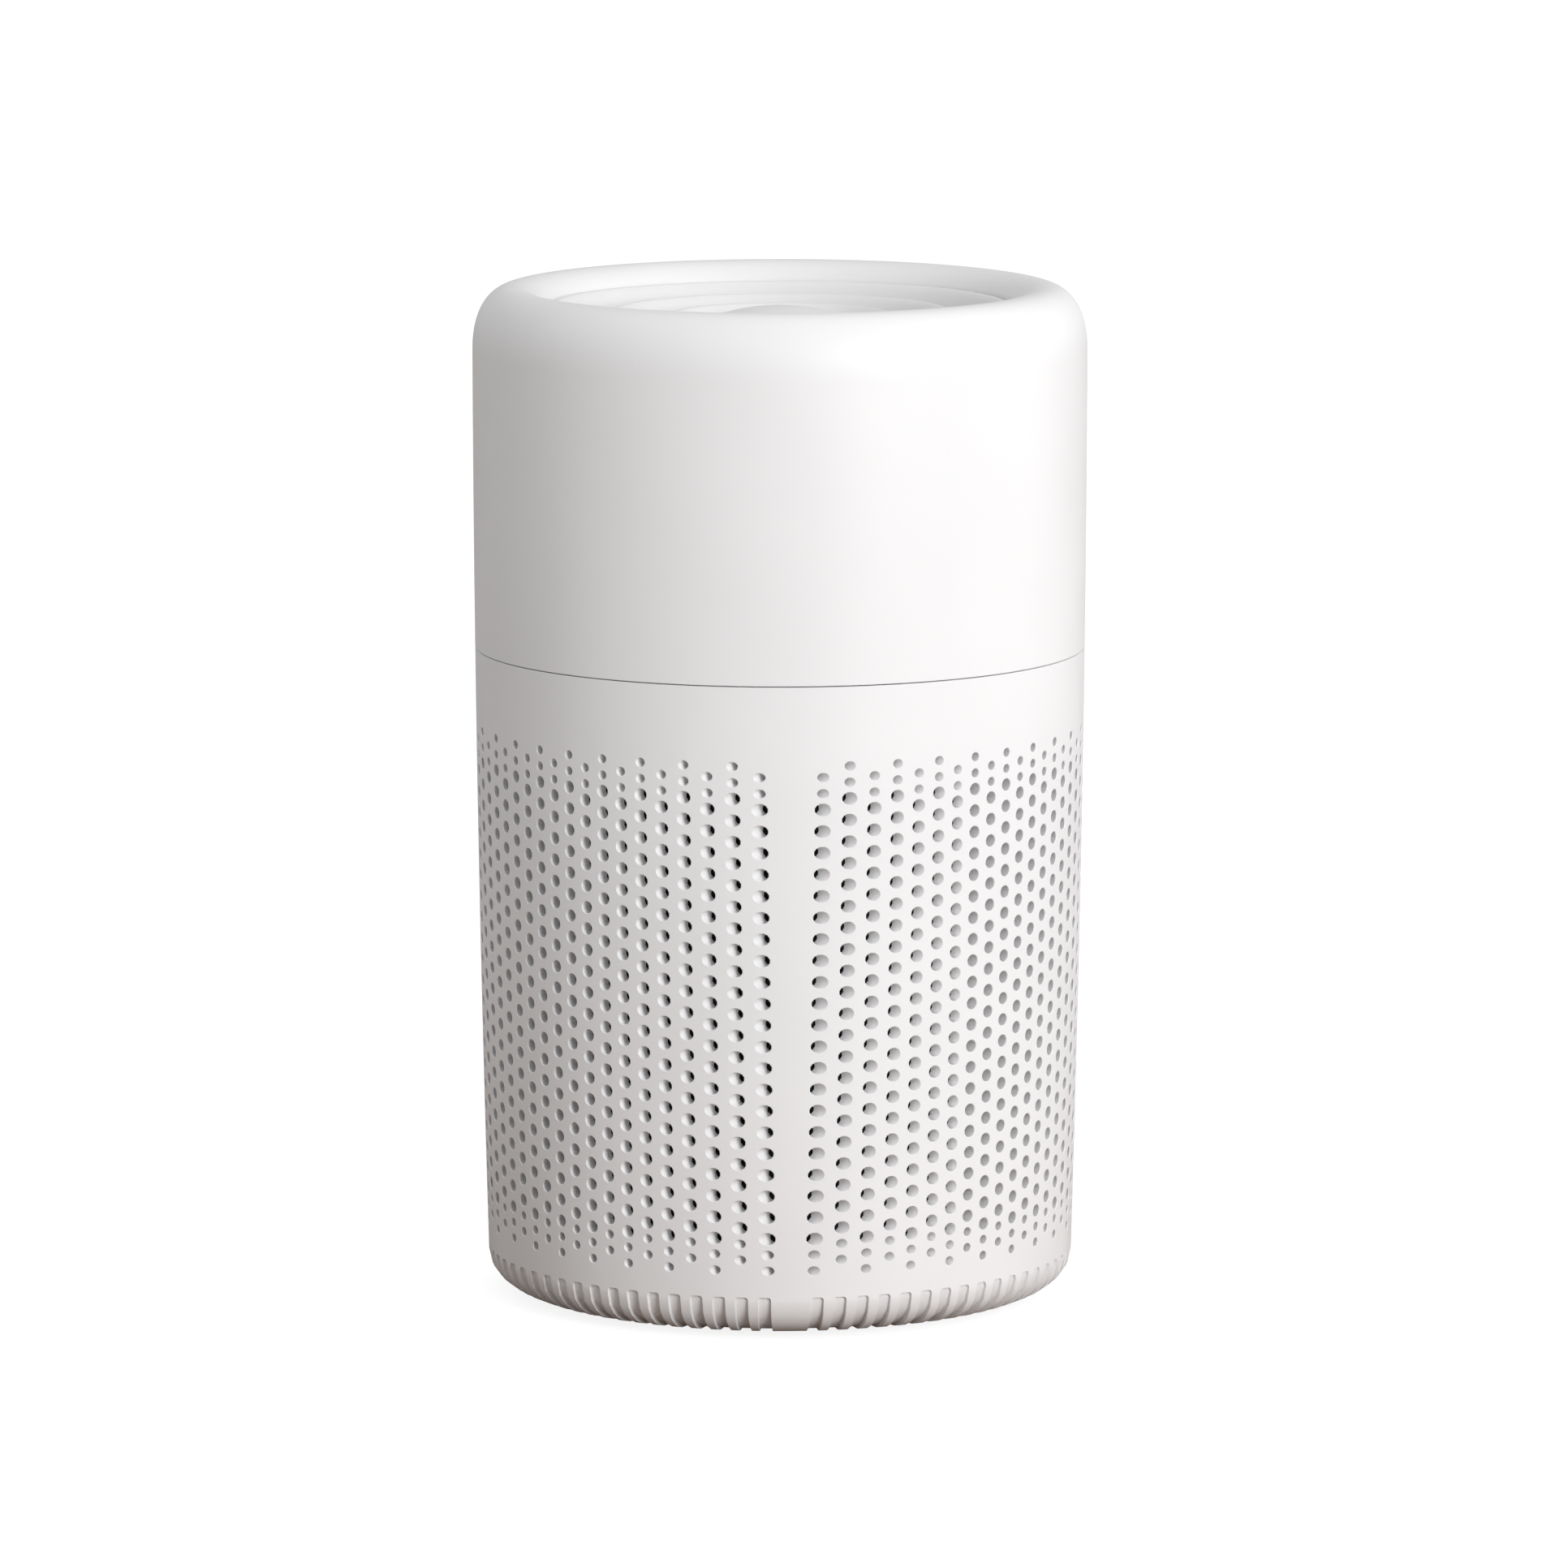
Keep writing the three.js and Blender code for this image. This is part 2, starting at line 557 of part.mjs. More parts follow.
function dcInlet() {
  const bore = alongY(rod(2.75, 69, 79, 16), 0, INLET_Z);
  const pin = alongY(rod(0.9, 68.6, 76, 10), 0, INLET_Z);
  const nozzle = alongY(rod(4.1, 73, 77, 16), 0, INLET_Z);
  const body = block(11, 5.9, INLET_Z - 5, INLET_Z + 5).translate(0, 70.85, 0);
  return join(cut(join(body, nozzle), bore), pin);
}

function buildElectrics() {
  add("driver_board", driverBoard(), BOARD);
  [-14, 14].forEach((x, i) => {
    const fastener = screw(6.6, 2.4, 1.5, 0.9).rotateX(Math.PI);
    add(`driver_screw_${i + 1}`, alongY(fastener.translate(0, 0, BOARD_Y - GAP), x, 188), STEEL);
  });
  add("dc_inlet", dcInlet(), DARK);
  add("reed_switch", block(4, 2.4, DECK_TOP + GAP, 170.7).translate(0, BOARD_Y + 0.8, 0), DARK);
  const entry = 69.8;
  add("control_lead", wire([
    [0, 10, 233.6], [0, 10, 227], [-1, 18, 221], [-3, 40, 219], [-4, 62, 218], [-4, entry, 212],
    [-4, entry, 202], [-4, entry, 193.8],
  ], 1, 24), RUBBER);
  add("motor_lead", wire([
    [0, 12, 195.6], [0, 12, 203], [0, 17, 207], [1, 38, 207], [3, 60, 207], [4, entry, 203],
    [4, entry, 193.8],
  ], 1, 20), RUBBER);
}

buildBase();
buildFilter();
add("upper_housing", upperHousing(), WHITE);
buildControls();
buildDeck();
buildFan();
buildElectrics();

export default part;
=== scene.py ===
import json
import math

import bpy
from mathutils import Matrix, Vector


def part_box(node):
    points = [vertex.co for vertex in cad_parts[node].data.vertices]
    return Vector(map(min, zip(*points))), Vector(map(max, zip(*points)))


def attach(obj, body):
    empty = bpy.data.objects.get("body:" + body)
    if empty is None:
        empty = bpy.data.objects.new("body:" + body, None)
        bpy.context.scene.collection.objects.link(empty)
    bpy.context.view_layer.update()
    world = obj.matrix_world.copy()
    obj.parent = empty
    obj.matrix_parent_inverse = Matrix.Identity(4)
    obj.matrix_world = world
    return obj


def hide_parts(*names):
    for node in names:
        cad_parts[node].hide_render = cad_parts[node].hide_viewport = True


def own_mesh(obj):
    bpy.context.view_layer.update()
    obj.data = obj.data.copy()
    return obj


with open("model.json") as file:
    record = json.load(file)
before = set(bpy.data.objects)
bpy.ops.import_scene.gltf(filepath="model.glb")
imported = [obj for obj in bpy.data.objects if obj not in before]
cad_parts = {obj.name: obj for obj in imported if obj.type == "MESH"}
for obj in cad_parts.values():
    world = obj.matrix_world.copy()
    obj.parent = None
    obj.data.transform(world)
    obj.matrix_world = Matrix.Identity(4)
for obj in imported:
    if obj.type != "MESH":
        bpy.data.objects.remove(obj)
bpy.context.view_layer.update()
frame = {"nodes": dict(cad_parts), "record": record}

MM = 0.001

# ---------------------------------------------------------------------------------------
# Lower housing: one injection moulding in white ABS, floor, side wall and intake holes
# together. Each quarter is formed by its own slide, so its 475 holes run parallel to the
# middle of that quarter; the four plain strips are where the slides meet.
WALL = 3.0
LIP = 0.1
lower_low, lower_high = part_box("lower_housing")
SEAM = lower_high[2] / MM
BASE = lower_low[2] / MM
WIDEST_RADIUS = 77.55
WIDEST_Z = 242.2
BARREL = 8453.0
PITCH = 5.4
COLUMNS = 19
STEP = PITCH / 4
PATCH_LOW = 15.5
PATCH_ROWS = 98
PATCH_HALF = COLUMNS * 2
END_ROWS = 12
FULL_HOLES = 21
HOLE = 1.55
SMALL_HOLE = 1.12
HOLE_SIDES = 12
EASED_EDGE = 0.14
WALL_POINTS = 216
FLOOR_POINTS = 112


def side_radius(z):
    below = WIDEST_Z - min(z, WIDEST_Z)
    return WIDEST_RADIUS - below * below / (2 * BARREL)


# The pierced wall is laid out cell by cell on a lattice of a quarter of the hole pitch, so
# that each hole has clean faces and few of them.
class Shell:
    """Corners and faces of a moulding, in millimetres, until it becomes a mesh."""

    def __init__(self):
        self.points = []
        self.faces = []
        self.known = {}

    def point(self, azimuth, radius, z, key=None):
        if key is not None and key in self.known:
            return self.known[key]
        self.points.append((radius * math.cos(azimuth), radius * math.sin(azimuth), z))
        if key is not None:
            self.known[key] = len(self.points) - 1
        return len(self.points) - 1

    def face(self, corners, flip):
        unique = [c for i, c in enumerate(corners) if c != corners[i - 1]]
        if len(unique) > 2:
            self.faces.append(unique[::-1] if flip else unique)

    def bridge(self, outer, inner, flip=False):
        """Fills between two closed loops of (turn, corner), each in order of turn from 0 to 1."""
        i = j = 0
        while i < len(outer) or j < len(inner):
            a = outer[i % len(outer)][1]
            b = inner[j % len(inner)][1]
            next_outer = outer[i + 1][0] if i + 1 < len(outer) else 1 + outer[0][0]
            next_inner = inner[j + 1][0] if j + 1 < len(inner) else 1 + inner[0][0]
            if j >= len(inner) or (i < len(outer) and next_outer < next_inner - 1e-9):
                i += 1
                self.face([b, a, outer[i % len(outer)][1]], flip)
            elif i >= len(outer) or next_inner < next_outer - 1e-9:
                j += 1
                self.face([a, inner[j % len(inner)][1], b], flip)
            else:
                i += 1
                j += 1
                self.face([a, outer[i % len(outer)][1], inner[j % len(inner)][1], b], flip)

    def mesh(self, name):
        made = bpy.data.meshes.new(name)
        made.from_pydata([tuple(c * MM for c in p) for p in self.points], [], self.faces)
        made.validate()
        piece = bpy.data.objects.new(name, made)
        bpy.context.scene.collection.objects.link(piece)
        return piece


def hole_place(quarter, across, z, inside):
    """Azimuth and radius of a point that lies `across` millimetres off the slide's middle."""
    radius = side_radius(z) - (WALL if inside else 0)
    turn = math.asin(max(-1.0, min(1.0, across / radius)))
    if inside:
        limit = math.radians(44.75)
        turn = max(-limit, min(limit, turn))
    return math.radians(45 + 90 * quarter) + turn, radius


def lattice(shell, quarter, i, j, inside):
    z = PATCH_LOW + j * STEP
    azimuth, radius = hole_place(quarter, i * STEP, z, inside)
    return shell.point(azimuth, radius, z, ("lattice", quarter, i, j, inside))


def is_used(i, j):
    """Mid points of the lattice are only needed near the ends of the columns."""
    near_end = j < END_ROWS or j > PATCH_ROWS - END_ROWS
    return near_end or (i % 2 == 0 and j % 2 == 0)


def edge_loop(shell, quarter, left, low, high, inside, centre):
    """The cell's outline from its right side round to the left, as (turn, corner)."""
    right = left + 4
    ring = [(right, j) for j in range(low, high)] + [(i, high) for i in range(right, left, -1)]
    ring += [(left, j) for j in range(high, low, -1)] + [(i, low) for i in range(left, right)]
    loop = []
    for i, j in ring:
        if is_used(i, j):
            z = PATCH_LOW + j * STEP
            turn = math.atan2(z - centre[1], i * STEP - centre[0]) / (2 * math.pi) % 1
            loop.append((turn, lattice(shell, quarter, i, j, inside)))
    return sorted(loop)


def hole_ring(shell, quarter, centre, radius, depth):
    loop = []
    for k in range(HOLE_SIDES):
        turn = (k + 0.5) / HOLE_SIDES
        across = centre[0] + radius * math.cos(2 * math.pi * turn)
        z = centre[1] + radius * math.sin(2 * math.pi * turn)
        azimuth, outside = hole_place(quarter, across, z, depth >= WALL)
        if 0 < depth < WALL:
            outside -= depth
        loop.append((turn, shell.point(azimuth, outside, z)))
    return loop


def add_cell(shell, quarter, left, low, high, hole_z, radius):
    """A rectangle of wall, from the lattice, with a round hole through it or none."""
    centre = ((left + 2) * STEP, hole_z)
    outline = edge_loop(shell, quarter, left, low, high, False, centre)
    back = edge_loop(shell, quarter, left, low, high, True, centre)
    if radius == 0:
        shell.face([corner for _, corner in outline], False)
        shell.face([corner for _, corner in back], True)
        return
    mouth = hole_ring(shell, quarter, centre, radius + EASED_EDGE, 0)
    lip = hole_ring(shell, quarter, centre, radius, EASED_EDGE)
    end = hole_ring(shell, quarter, centre, radius, WALL)
    shell.bridge(outline, mouth)
    shell.bridge(mouth, lip)
    shell.bridge(lip, end)
    shell.bridge(end, back)


def add_column(shell, quarter, column):
    """Two small holes, twenty-one full ones and two small ones, every other column raised."""
    left = -PATCH_HALF + 4 * column
    start = 2 * (column % 2)
    if start:
        add_cell(shell, quarter, left, 0, 2, PATCH_LOW + STEP, 0)
    for low, hole_row in ((0, 2), (3, 5)):
        row = start + low
        add_cell(shell, quarter, left, row, row + 3, PATCH_LOW + (start + hole_row) * STEP, SMALL_HOLE)
    for hole in range(FULL_HOLES):
        row = start + 6 + 4 * hole
        add_cell(shell, quarter, left, row, row + 4, PATCH_LOW + (row + 2) * STEP, HOLE)
    for low, hole_row in ((90, 91), (93, 94)):
        row = start + low
        add_cell(shell, quarter, left, row, row + 3, PATCH_LOW + (start + hole_row) * STEP, SMALL_HOLE)
    if not start:
        add_cell(shell, quarter, left, 96, 98, PATCH_LOW + 97 * STEP, 0)


def add_strip(shell, quarter):
    """The plain strip between this quarter's last column and the next quarter's first."""
    after = (quarter + 1) % 4
    rows = [j for j in range(PATCH_ROWS + 1) if is_used(PATCH_HALF, j)]
    for j, above in zip(rows, rows[1:]):
        for inside in (False, True):
            low = strip_row(shell, quarter, after, j, inside)
            high = strip_row(shell, quarter, after, above, inside)
            for k in range(len(low) - 1):
                shell.face([low[k], low[k + 1], high[k + 1], high[k]], inside)


def strip_row(shell, quarter, after, j, inside):
    z = PATCH_LOW + j * STEP
    first, radius = hole_place(quarter, PATCH_HALF * STEP, z, inside)
    last = hole_place(after, -PATCH_HALF * STEP, z, inside)[0] % (2 * math.pi)
    span = (last - first) % (2 * math.pi)
    row = [lattice(shell, quarter, PATCH_HALF, j, inside)]
    if not inside:
        for k in (1, 2, 3):
            azimuth = first + span * k / 4
            row.append(shell.point(azimuth, radius, z, ("strip", quarter, j, k)))
    return row + [lattice(shell, after, -PATCH_HALF, j, inside)]


def full_turn(shell, corners):
    """A closed ring of corners as (turn, corner), in order of azimuth."""
    loop = {}
    for corner in corners:
        x, y, _ = shell.points[corner]
        loop[corner] = math.atan2(y, x) / (2 * math.pi) % 1
    return sorted((turn, corner) for corner, turn in loop.items())


def patch_ring(shell, j, inside):
    corners = []
    for quarter in range(4):
        corners += [lattice(shell, quarter, i, j, inside) for i in range(-PATCH_HALF, PATCH_HALF + 1)]
        corners += strip_row(shell, quarter, (quarter + 1) % 4, j, inside)
    return full_turn(shell, corners)


def plain_ring(shell, radius, z, count):
    turns = [(k + 0.5) / count for k in range(count)]
    return [(turn, shell.point(2 * math.pi * turn, radius, z)) for turn in turns]


def add_rings(shell, first, outline, flip=False, count=WALL_POINTS):
    """Carries the wall on from a ring through (radius, height) places; returns the last."""
    ring = first
    for radius, z in outline:
        following = plain_ring(shell, radius, z, count)
        shell.bridge(ring, following, flip)
        ring = following
    return ring


# The base edge is rounded and has nineteen upright grooves in each quarter. They are cut
# by a sloping face, so they are shallow at the top and deep where they run out below.
CORNER_ACROSS = 12.0
CORNER_HIGH = 9.2
GROOVE_TOP = 11.4
GROOVE_HALF = 1.65
GROOVE_ROUND = 0.7
GROOVE_FIRST = 5.05
GROOVE_STEP = (90 - 2 * GROOVE_FIRST) / 18
corner_centre = side_radius(BASE + CORNER_HIGH) - CORNER_ACROSS


def groove_depth(z):
    return 0.8 + 2.6 * ((GROOVE_TOP - z) / (GROOVE_TOP - BASE)) ** 2


def groove_half_width(z):
    above = (z - (GROOVE_TOP - GROOVE_ROUND)) / GROOVE_ROUND
    if above <= 0:
        return GROOVE_HALF
    return GROOVE_HALF - GROOVE_ROUND * (1 - math.sqrt(max(0.0, 1 - above * above)))


def base_rows():
    rows = [(side_radius(z), z) for z in (GROOVE_TOP, 11.2, 10.7)]
    for degrees in (0, 20, 38, 54, 68, 80, 90):
        turn = math.radians(degrees)
        rows.append((corner_centre + CORNER_ACROSS * math.cos(turn),
                     BASE + CORNER_HIGH * (1 - math.sin(turn))))
    return rows


def groove_row(shell, radius, z, level):
    """One level of the base edge: for each groove, land, edge, back, back, edge."""
    half = groove_half_width(z) / radius
    back = radius - (groove_depth(z) if level else 0.3)
    row = []
    for quarter in range(4):
        for i in range(COLUMNS):
            middle = math.radians(90 * quarter + GROOVE_FIRST + i * GROOVE_STEP)
            land = math.radians(GROOVE_STEP / 2 if i else GROOVE_FIRST)
            row.append([
                shell.point(middle - land, radius, z, ("land", quarter, i, level)),
                shell.point(middle - half, radius, z),
                shell.point(middle - half, back, z),
                shell.point(middle + half, back, z),
                shell.point(middle + half, radius, z),
            ])
    return row


def add_base_edge(shell, patch_low):
    levels = [groove_row(shell, radius, z, level) for level, (radius, z) in enumerate(base_rows())]
    top = [corner for land, a, _, _, b in levels[0] for corner in (land, a, b)]
    above = full_turn(shell, top)
    shell.bridge(above, patch_low)
    for _, left, back_left, back_right, right in levels[0]:
        shell.face([left, right, back_right, back_left], False)
    for high, low in zip(levels, levels[1:]):
        for n, (upper, lower) in enumerate(zip(high, low)):
            for k in range(4):
                shell.face([lower[k], lower[k + 1], upper[k + 1], upper[k]], False)
            after_high = high[(n + 1) % len(high)][0]
            after_low = low[(n + 1) % len(low)][0]
            shell.face([lower[4], after_low, after_high, upper[4]], False)
    closing = groove_row(shell, corner_centre - groove_depth(BASE), BASE, "inner edge")
    for n, (upper, lower) in enumerate(zip(levels[-1], closing)):
        after = (n + 1) % len(closing)
        upper_ring = [upper[0], upper[1], upper[4], levels[-1][after][0]]
        lower_ring = [lower[0], lower[1], lower[4], closing[after][0]]
        shell.face([lower_ring[0], lower_ring[1], upper_ring[1], upper_ring[0]], False)
        shell.face([lower_ring[1], upper[2], upper[1]], False)
        shell.face([lower_ring[2], upper[4], upper[3]], False)
        shell.face([lower_ring[2], lower_ring[3], upper_ring[3], upper_ring[2]], False)
        shell.face([lower_ring[1], lower_ring[2], upper[3], upper[2]], False)
    return full_turn(shell, [corner for land, a, _, _, b in closing for corner in (land, a, b)])


def quarter_arc(centre, radius, start, end, steps):
    points = []
    for k in range(steps + 1):
        turn = math.radians(start + (end - start) * k / steps)
        points.append((centre[0] + radius * math.cos(turn), centre[1] + radius * math.sin(turn)))
    return points


def make_lower_housing():
    shell = Shell()
    for quarter in range(4):
        for column in range(COLUMNS):
            add_column(shell, quarter, column)
        add_strip(shell, quarter)
    top_outer = side_radius(SEAM)
    lip_out = quarter_arc((top_outer - LIP, SEAM - LIP), LIP, 0, 90, 2)
    lip_in = quarter_arc((top_outer - WALL + LIP, SEAM - LIP), LIP, 90, 180, 2)
    wall_top = [(side_radius(z), z) for z in (153, 159, SEAM - 1, SEAM - 2 * LIP)] + lip_out + lip_in
    wall_top += [(side_radius(z) - WALL, z) for z in (SEAM - 2 * LIP, 159, 153)]
    seam_ring = add_rings(shell, patch_ring(shell, PATCH_ROWS, False), wall_top, True)
    shell.bridge(seam_ring, patch_ring(shell, PATCH_ROWS, True), True)
    under = add_base_edge(shell, patch_ring(shell, 0, False))
    # The floor's outside, from the base edge in, and then its inside, where a low round rib
    # centres the cartridge.
    floor = [(57.4, BASE), (56.9, BASE + 0.2), (56.6, BASE + 0.7), (55.9, 10.2), (55.4, 10.8),
             (54.8, 11.0), (30, 11.0), (10, 11.0)]
    centre = add_rings(shell, under, floor, False, FLOOR_POINTS)
    shell.face([corner for _, corner in centre], True)
    inner_floor = [(71.3, 14.6), (70.9, 14.1), (70.2, 14.0), (69.2, 14.0), (69.0, 14.2), (69.0, 17.7),
                   (68.7, 18.0), (67.3, 18.0), (67.0, 17.7), (67.0, 14.2), (66.8, 14.0), (30, 14.0),
                   (10, 14.0)]
    centre = add_rings(shell, patch_ring(shell, 0, True), inner_floor, True, FLOOR_POINTS)
    shell.face([corner for _, corner in centre], False)
    return shell.mesh("lower_housing_moulding")


lower_housing = make_lower_housing()


def select_only(piece):
    bpy.ops.object.select_all(action="DESELECT")
    bpy.context.view_layer.objects.active = piece
    piece.select_set(True)


def tidy_faces(piece, degrees=35):
    """Merges doubled corners, turns every face outwards and shades it by its angles."""
    select_only(piece)
    bpy.ops.object.mode_set(mode="EDIT")
    bpy.ops.mesh.select_all(action="SELECT")
    bpy.ops.mesh.remove_doubles(threshold=2e-6)
    bpy.ops.mesh.delete_loose(use_verts=True, use_edges=True, use_faces=False)
    bpy.ops.mesh.select_all(action="SELECT")
    bpy.ops.mesh.normals_make_consistent(inside=False)
    bpy.ops.object.mode_set(mode="OBJECT")
    bpy.ops.object.shade_smooth_by_angle(angle=math.radians(degrees))


def apply_bevel(piece, width, segments=2, degrees=40):
    select_only(piece)
    bevel = piece.modifiers.new("eased edges", "BEVEL")
    bevel.width = width * MM
    bevel.segments = segments
    bevel.limit_method = "ANGLE"
    bevel.angle_limit = math.radians(degrees)
    bpy.ops.object.modifier_apply(modifier=bevel.name)


def join_pieces(name, pieces):
    select_only(pieces[0])
    for piece in pieces:
        piece.select_set(True)
    bpy.ops.object.join()
    joined = bpy.context.object
    joined.name = name
    joined.data.name = name
    return joined


def upright(name, radius, low, high, x=0.0, y=0.0, vertices=48):
    """A round post from low to high, in millimetres, with its place in its mesh."""
    bpy.ops.object.select_all(action="DESELECT")
    bpy.ops.mesh.primitive_cylinder_add(vertices=vertices, radius=radius * MM, depth=(high - low) * MM,
                                        location=(x * MM, y * MM, (low + high) / 2 * MM))
    bpy.ops.object.transform_apply(location=True, rotation=True, scale=True)
    bpy.context.object.name = name
    return bpy.context.object


# Four short bosses under the floor take the feet.
tidy_faces(lower_housing)
FOOT_CIRCLE = 44 * math.sqrt(0.5)
foot_places = [(sx * FOOT_CIRCLE, sy * FOOT_CIRCLE) for sx, sy in ((1, 1), (-1, 1), (-1, -1), (1, -1))]
bosses = []
for number, (x, y) in enumerate(foot_places):
    boss = upright(f"foot_boss_{number}", 8.5, 2.5, 11.6, x, y, 32)
    apply_bevel(boss, 0.5)
    tidy_faces(boss)
    bosses.append(boss)
lower_housing = join_pieces("lower_housing_moulding", [lower_housing, *bosses])
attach(lower_housing, "base")
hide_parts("lower_housing")


def linear(hex_colour):
    """An sRGB hex colour as the linear colour that a shader takes."""
    values = [int(hex_colour[i:i + 2], 16) / 255 for i in (1, 3, 5)]
    curve = [v / 12.92 if v <= 0.04045 else ((v + 0.055) / 1.055) ** 2.4 for v in values]
    return (*curve, 1.0)


def add_node(material, kind, settings=None, values=None, links=None):
    """Adds a node: settings are its own options, values and links go to its inputs."""
    made = material.node_tree.nodes.new(kind)
    for name, value in (settings or {}).items():
        setattr(made, name, value)
    for name, value in (values or {}).items():
        made.inputs[name].default_value = value
    for name, socket in (links or {}).items():
        material.node_tree.links.new(socket, made.inputs[name])
    return made


def new_material(name, **shader_values):
    """A material with its Principled shader set, and the place on the piece in metres."""
    material = bpy.data.materials.new(name)
    material.use_nodes = True
    shader = material.node_tree.nodes["Principled BSDF"]
    for key, value in shader_values.items():
        shader.inputs[key.replace("_", " ")].default_value = value
    place = add_node(material, "ShaderNodeTexCoord").outputs["Object"]
    return material, shader, place


def link_finish(material, shader, colour, relief, gloss=None):
    """Joins a colour, a bump and, where it varies, a roughness to the shader."""
    links = material.node_tree.links
    links.new(colour, shader.inputs["Base Color"])
    links.new(relief.outputs["Normal"], shader.inputs["Normal"])
    if gloss:
        links.new(gloss.outputs["Result"], shader.inputs["Roughness"])
    return material


# Satin white ABS: moulded against a spark-eroded tool, so the face has a very fine even
# grain, a soft wide highlight and hardly any colour of its own.
def make_white_abs(name, light, dark, roughness, grain_mm=0.45, grain_depth=0.012):
    material, shader, place = new_material(name, IOR=1.53)
    shader.inputs["Specular IOR Level"].default_value = 0.45
    drift = add_node(material, "ShaderNodeTexNoise", values={"Scale": 14.0, "Detail": 3.0},
                     links={"Vector": place})
    tint = add_node(material, "ShaderNodeValToRGB", links={"Fac": drift.outputs["Fac"]})
    tint.color_ramp.elements[0].position = 0.35
    tint.color_ramp.elements[0].color = linear(dark)
    tint.color_ramp.elements[1].position = 0.65
    tint.color_ramp.elements[1].color = linear(light)
    handled = add_node(material, "ShaderNodeTexNoise", values={"Scale": 55.0, "Detail": 4.0},
                       links={"Vector": place})
    gloss = add_node(material, "ShaderNodeMapRange",
                     values={"From Min": 0.3, "From Max": 0.7, "To Min": roughness - 0.04,
                             "To Max": roughness + 0.05},
                     links={"Value": handled.outputs["Fac"]})
    # The real grain is about 0.05 mm; it is drawn coarser so that it shows at all.
    grain = add_node(material, "ShaderNodeTexNoise",
                     values={"Scale": 1 / (grain_mm * MM), "Detail": 2.0, "Roughness": 0.6},
                     links={"Vector": place})
    relief = add_node(material, "ShaderNodeBump", values={"Strength": 0.35, "Distance": grain_depth * MM},
                      links={"Height": grain.outputs["Fac"]})
    return link_finish(material, shader, tint.outputs["Color"], relief, gloss)


white_abs = make_white_abs("satin_white_abs", "#F1F1F2", "#EEEEEF", 0.46)
lower_housing.data.materials.clear()
lower_housing.data.materials.append(white_abs)

# ---------------------------------------------------------------------------------------
# Feet: four discs of black thermoplastic rubber, each glued to a boss under the floor.
# Their edges are rolled over, and the face that grips the table is slightly matt.
def spun(name, outline, steps=128, degrees=35):
    """Draws a closed outline of (radius, height) in millimetres and spins it about Z."""
    bpy.ops.object.select_all(action="DESELECT")
    bpy.ops.mesh.primitive_circle_add(vertices=len(outline), radius=1)
    piece = bpy.context.object
    piece.name = name
    piece.data.name = name
    for vertex, (radius, height) in zip(piece.data.vertices, outline):
        vertex.co = (radius * MM, 0, height * MM)
    bpy.ops.object.mode_set(mode="EDIT")
    bpy.ops.mesh.select_all(action="SELECT")
    bpy.ops.mesh.spin(steps=steps, angle=2 * math.pi, center=(0, 0, 0), axis=(0, 0, 1))
    bpy.ops.object.mode_set(mode="OBJECT")
    tidy_faces(piece, degrees)
    return piece


def copy_of(piece, name, move):
    twin = piece.copy()
    twin.data = piece.data.copy()
    twin.name = name
    twin.data.name = name
    twin.data.transform(move)
    bpy.context.scene.collection.objects.link(twin)
    return twin


def make_rubber(name, colour, roughness, grain_mm=0.6):
    material, shader, place = new_material(name, Roughness=roughness)
    shader.inputs["Specular IOR Level"].default_value = 0.3
    cloud = add_node(material, "ShaderNodeTexNoise", values={"Scale": 1 / (grain_mm * MM), "Detail": 4.0},
                     links={"Vector": place})
    dust = add_node(material, "ShaderNodeMix", {"data_type": "RGBA"},
                    links={"Factor": cloud.outputs["Fac"]})
    dust.inputs[6].default_value = linear(colour)
    dust.inputs[7].default_value = tuple(min(1.0, 1.35 * v) for v in linear(colour)[:3]) + (1.0,)
    relief = add_node(material, "ShaderNodeBump", values={"Strength": 0.4, "Distance": 0.04 * MM},
                      links={"Height": cloud.outputs["Fac"]})
    return link_finish(material, shader, dust.outputs[2], relief)


black_rubber = make_rubber("black_tpe_rubber", "#1F1F20", 0.8)
foot_outline = [(0, 0), (5.9, 0), *quarter_arc((6.3, 0.9), 0.9, 270, 360, 4), (7.2, 2.2), (0, 2.2)]
foot = spun("foot_master", foot_outline, 64)
foot.data.materials.append(black_rubber)
for number, (x, y) in enumerate(foot_places, 1):
    twin = copy_of(foot, f"foot_pad_{number}", Matrix.Translation((x * MM, y * MM, 0)))
    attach(twin, "base")
    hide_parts(f"foot_{number}")
bpy.data.objects.remove(foot)

# ---------------------------------------------------------------------------------------
# Upper housing: one white ABS moulding, with a full round rim that rolls over into a bowl
# round the outlet. Its wall lines up with the lower one across a hairline joint.
SEAM_GAP = 0.3
UPPER_SEAM = SEAM + SEAM_GAP
upper_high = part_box("upper_housing")[1]
HEIGHT = upper_high[2] / MM
WIDEST = upper_high[0] / MM
RIM_START = HEIGHT - 16.1
CREST = 67.2
BOWL = 59.0
BOWL_CORNER = 249.6
BOWL_BOTTOM = 236.0


def oval_arc(centre, across, high, start, end, steps, power=2.0):
    points = []
    for k in range(steps + 1):
        turn = math.radians(start + (end - start) * k / steps)
        c, s = math.cos(turn), math.sin(turn)
        points.append((centre[0] + across * math.copysign(abs(c) ** (2 / power), c),
                       centre[1] + high * math.copysign(abs(s) ** (2 / power), s)))
    return points


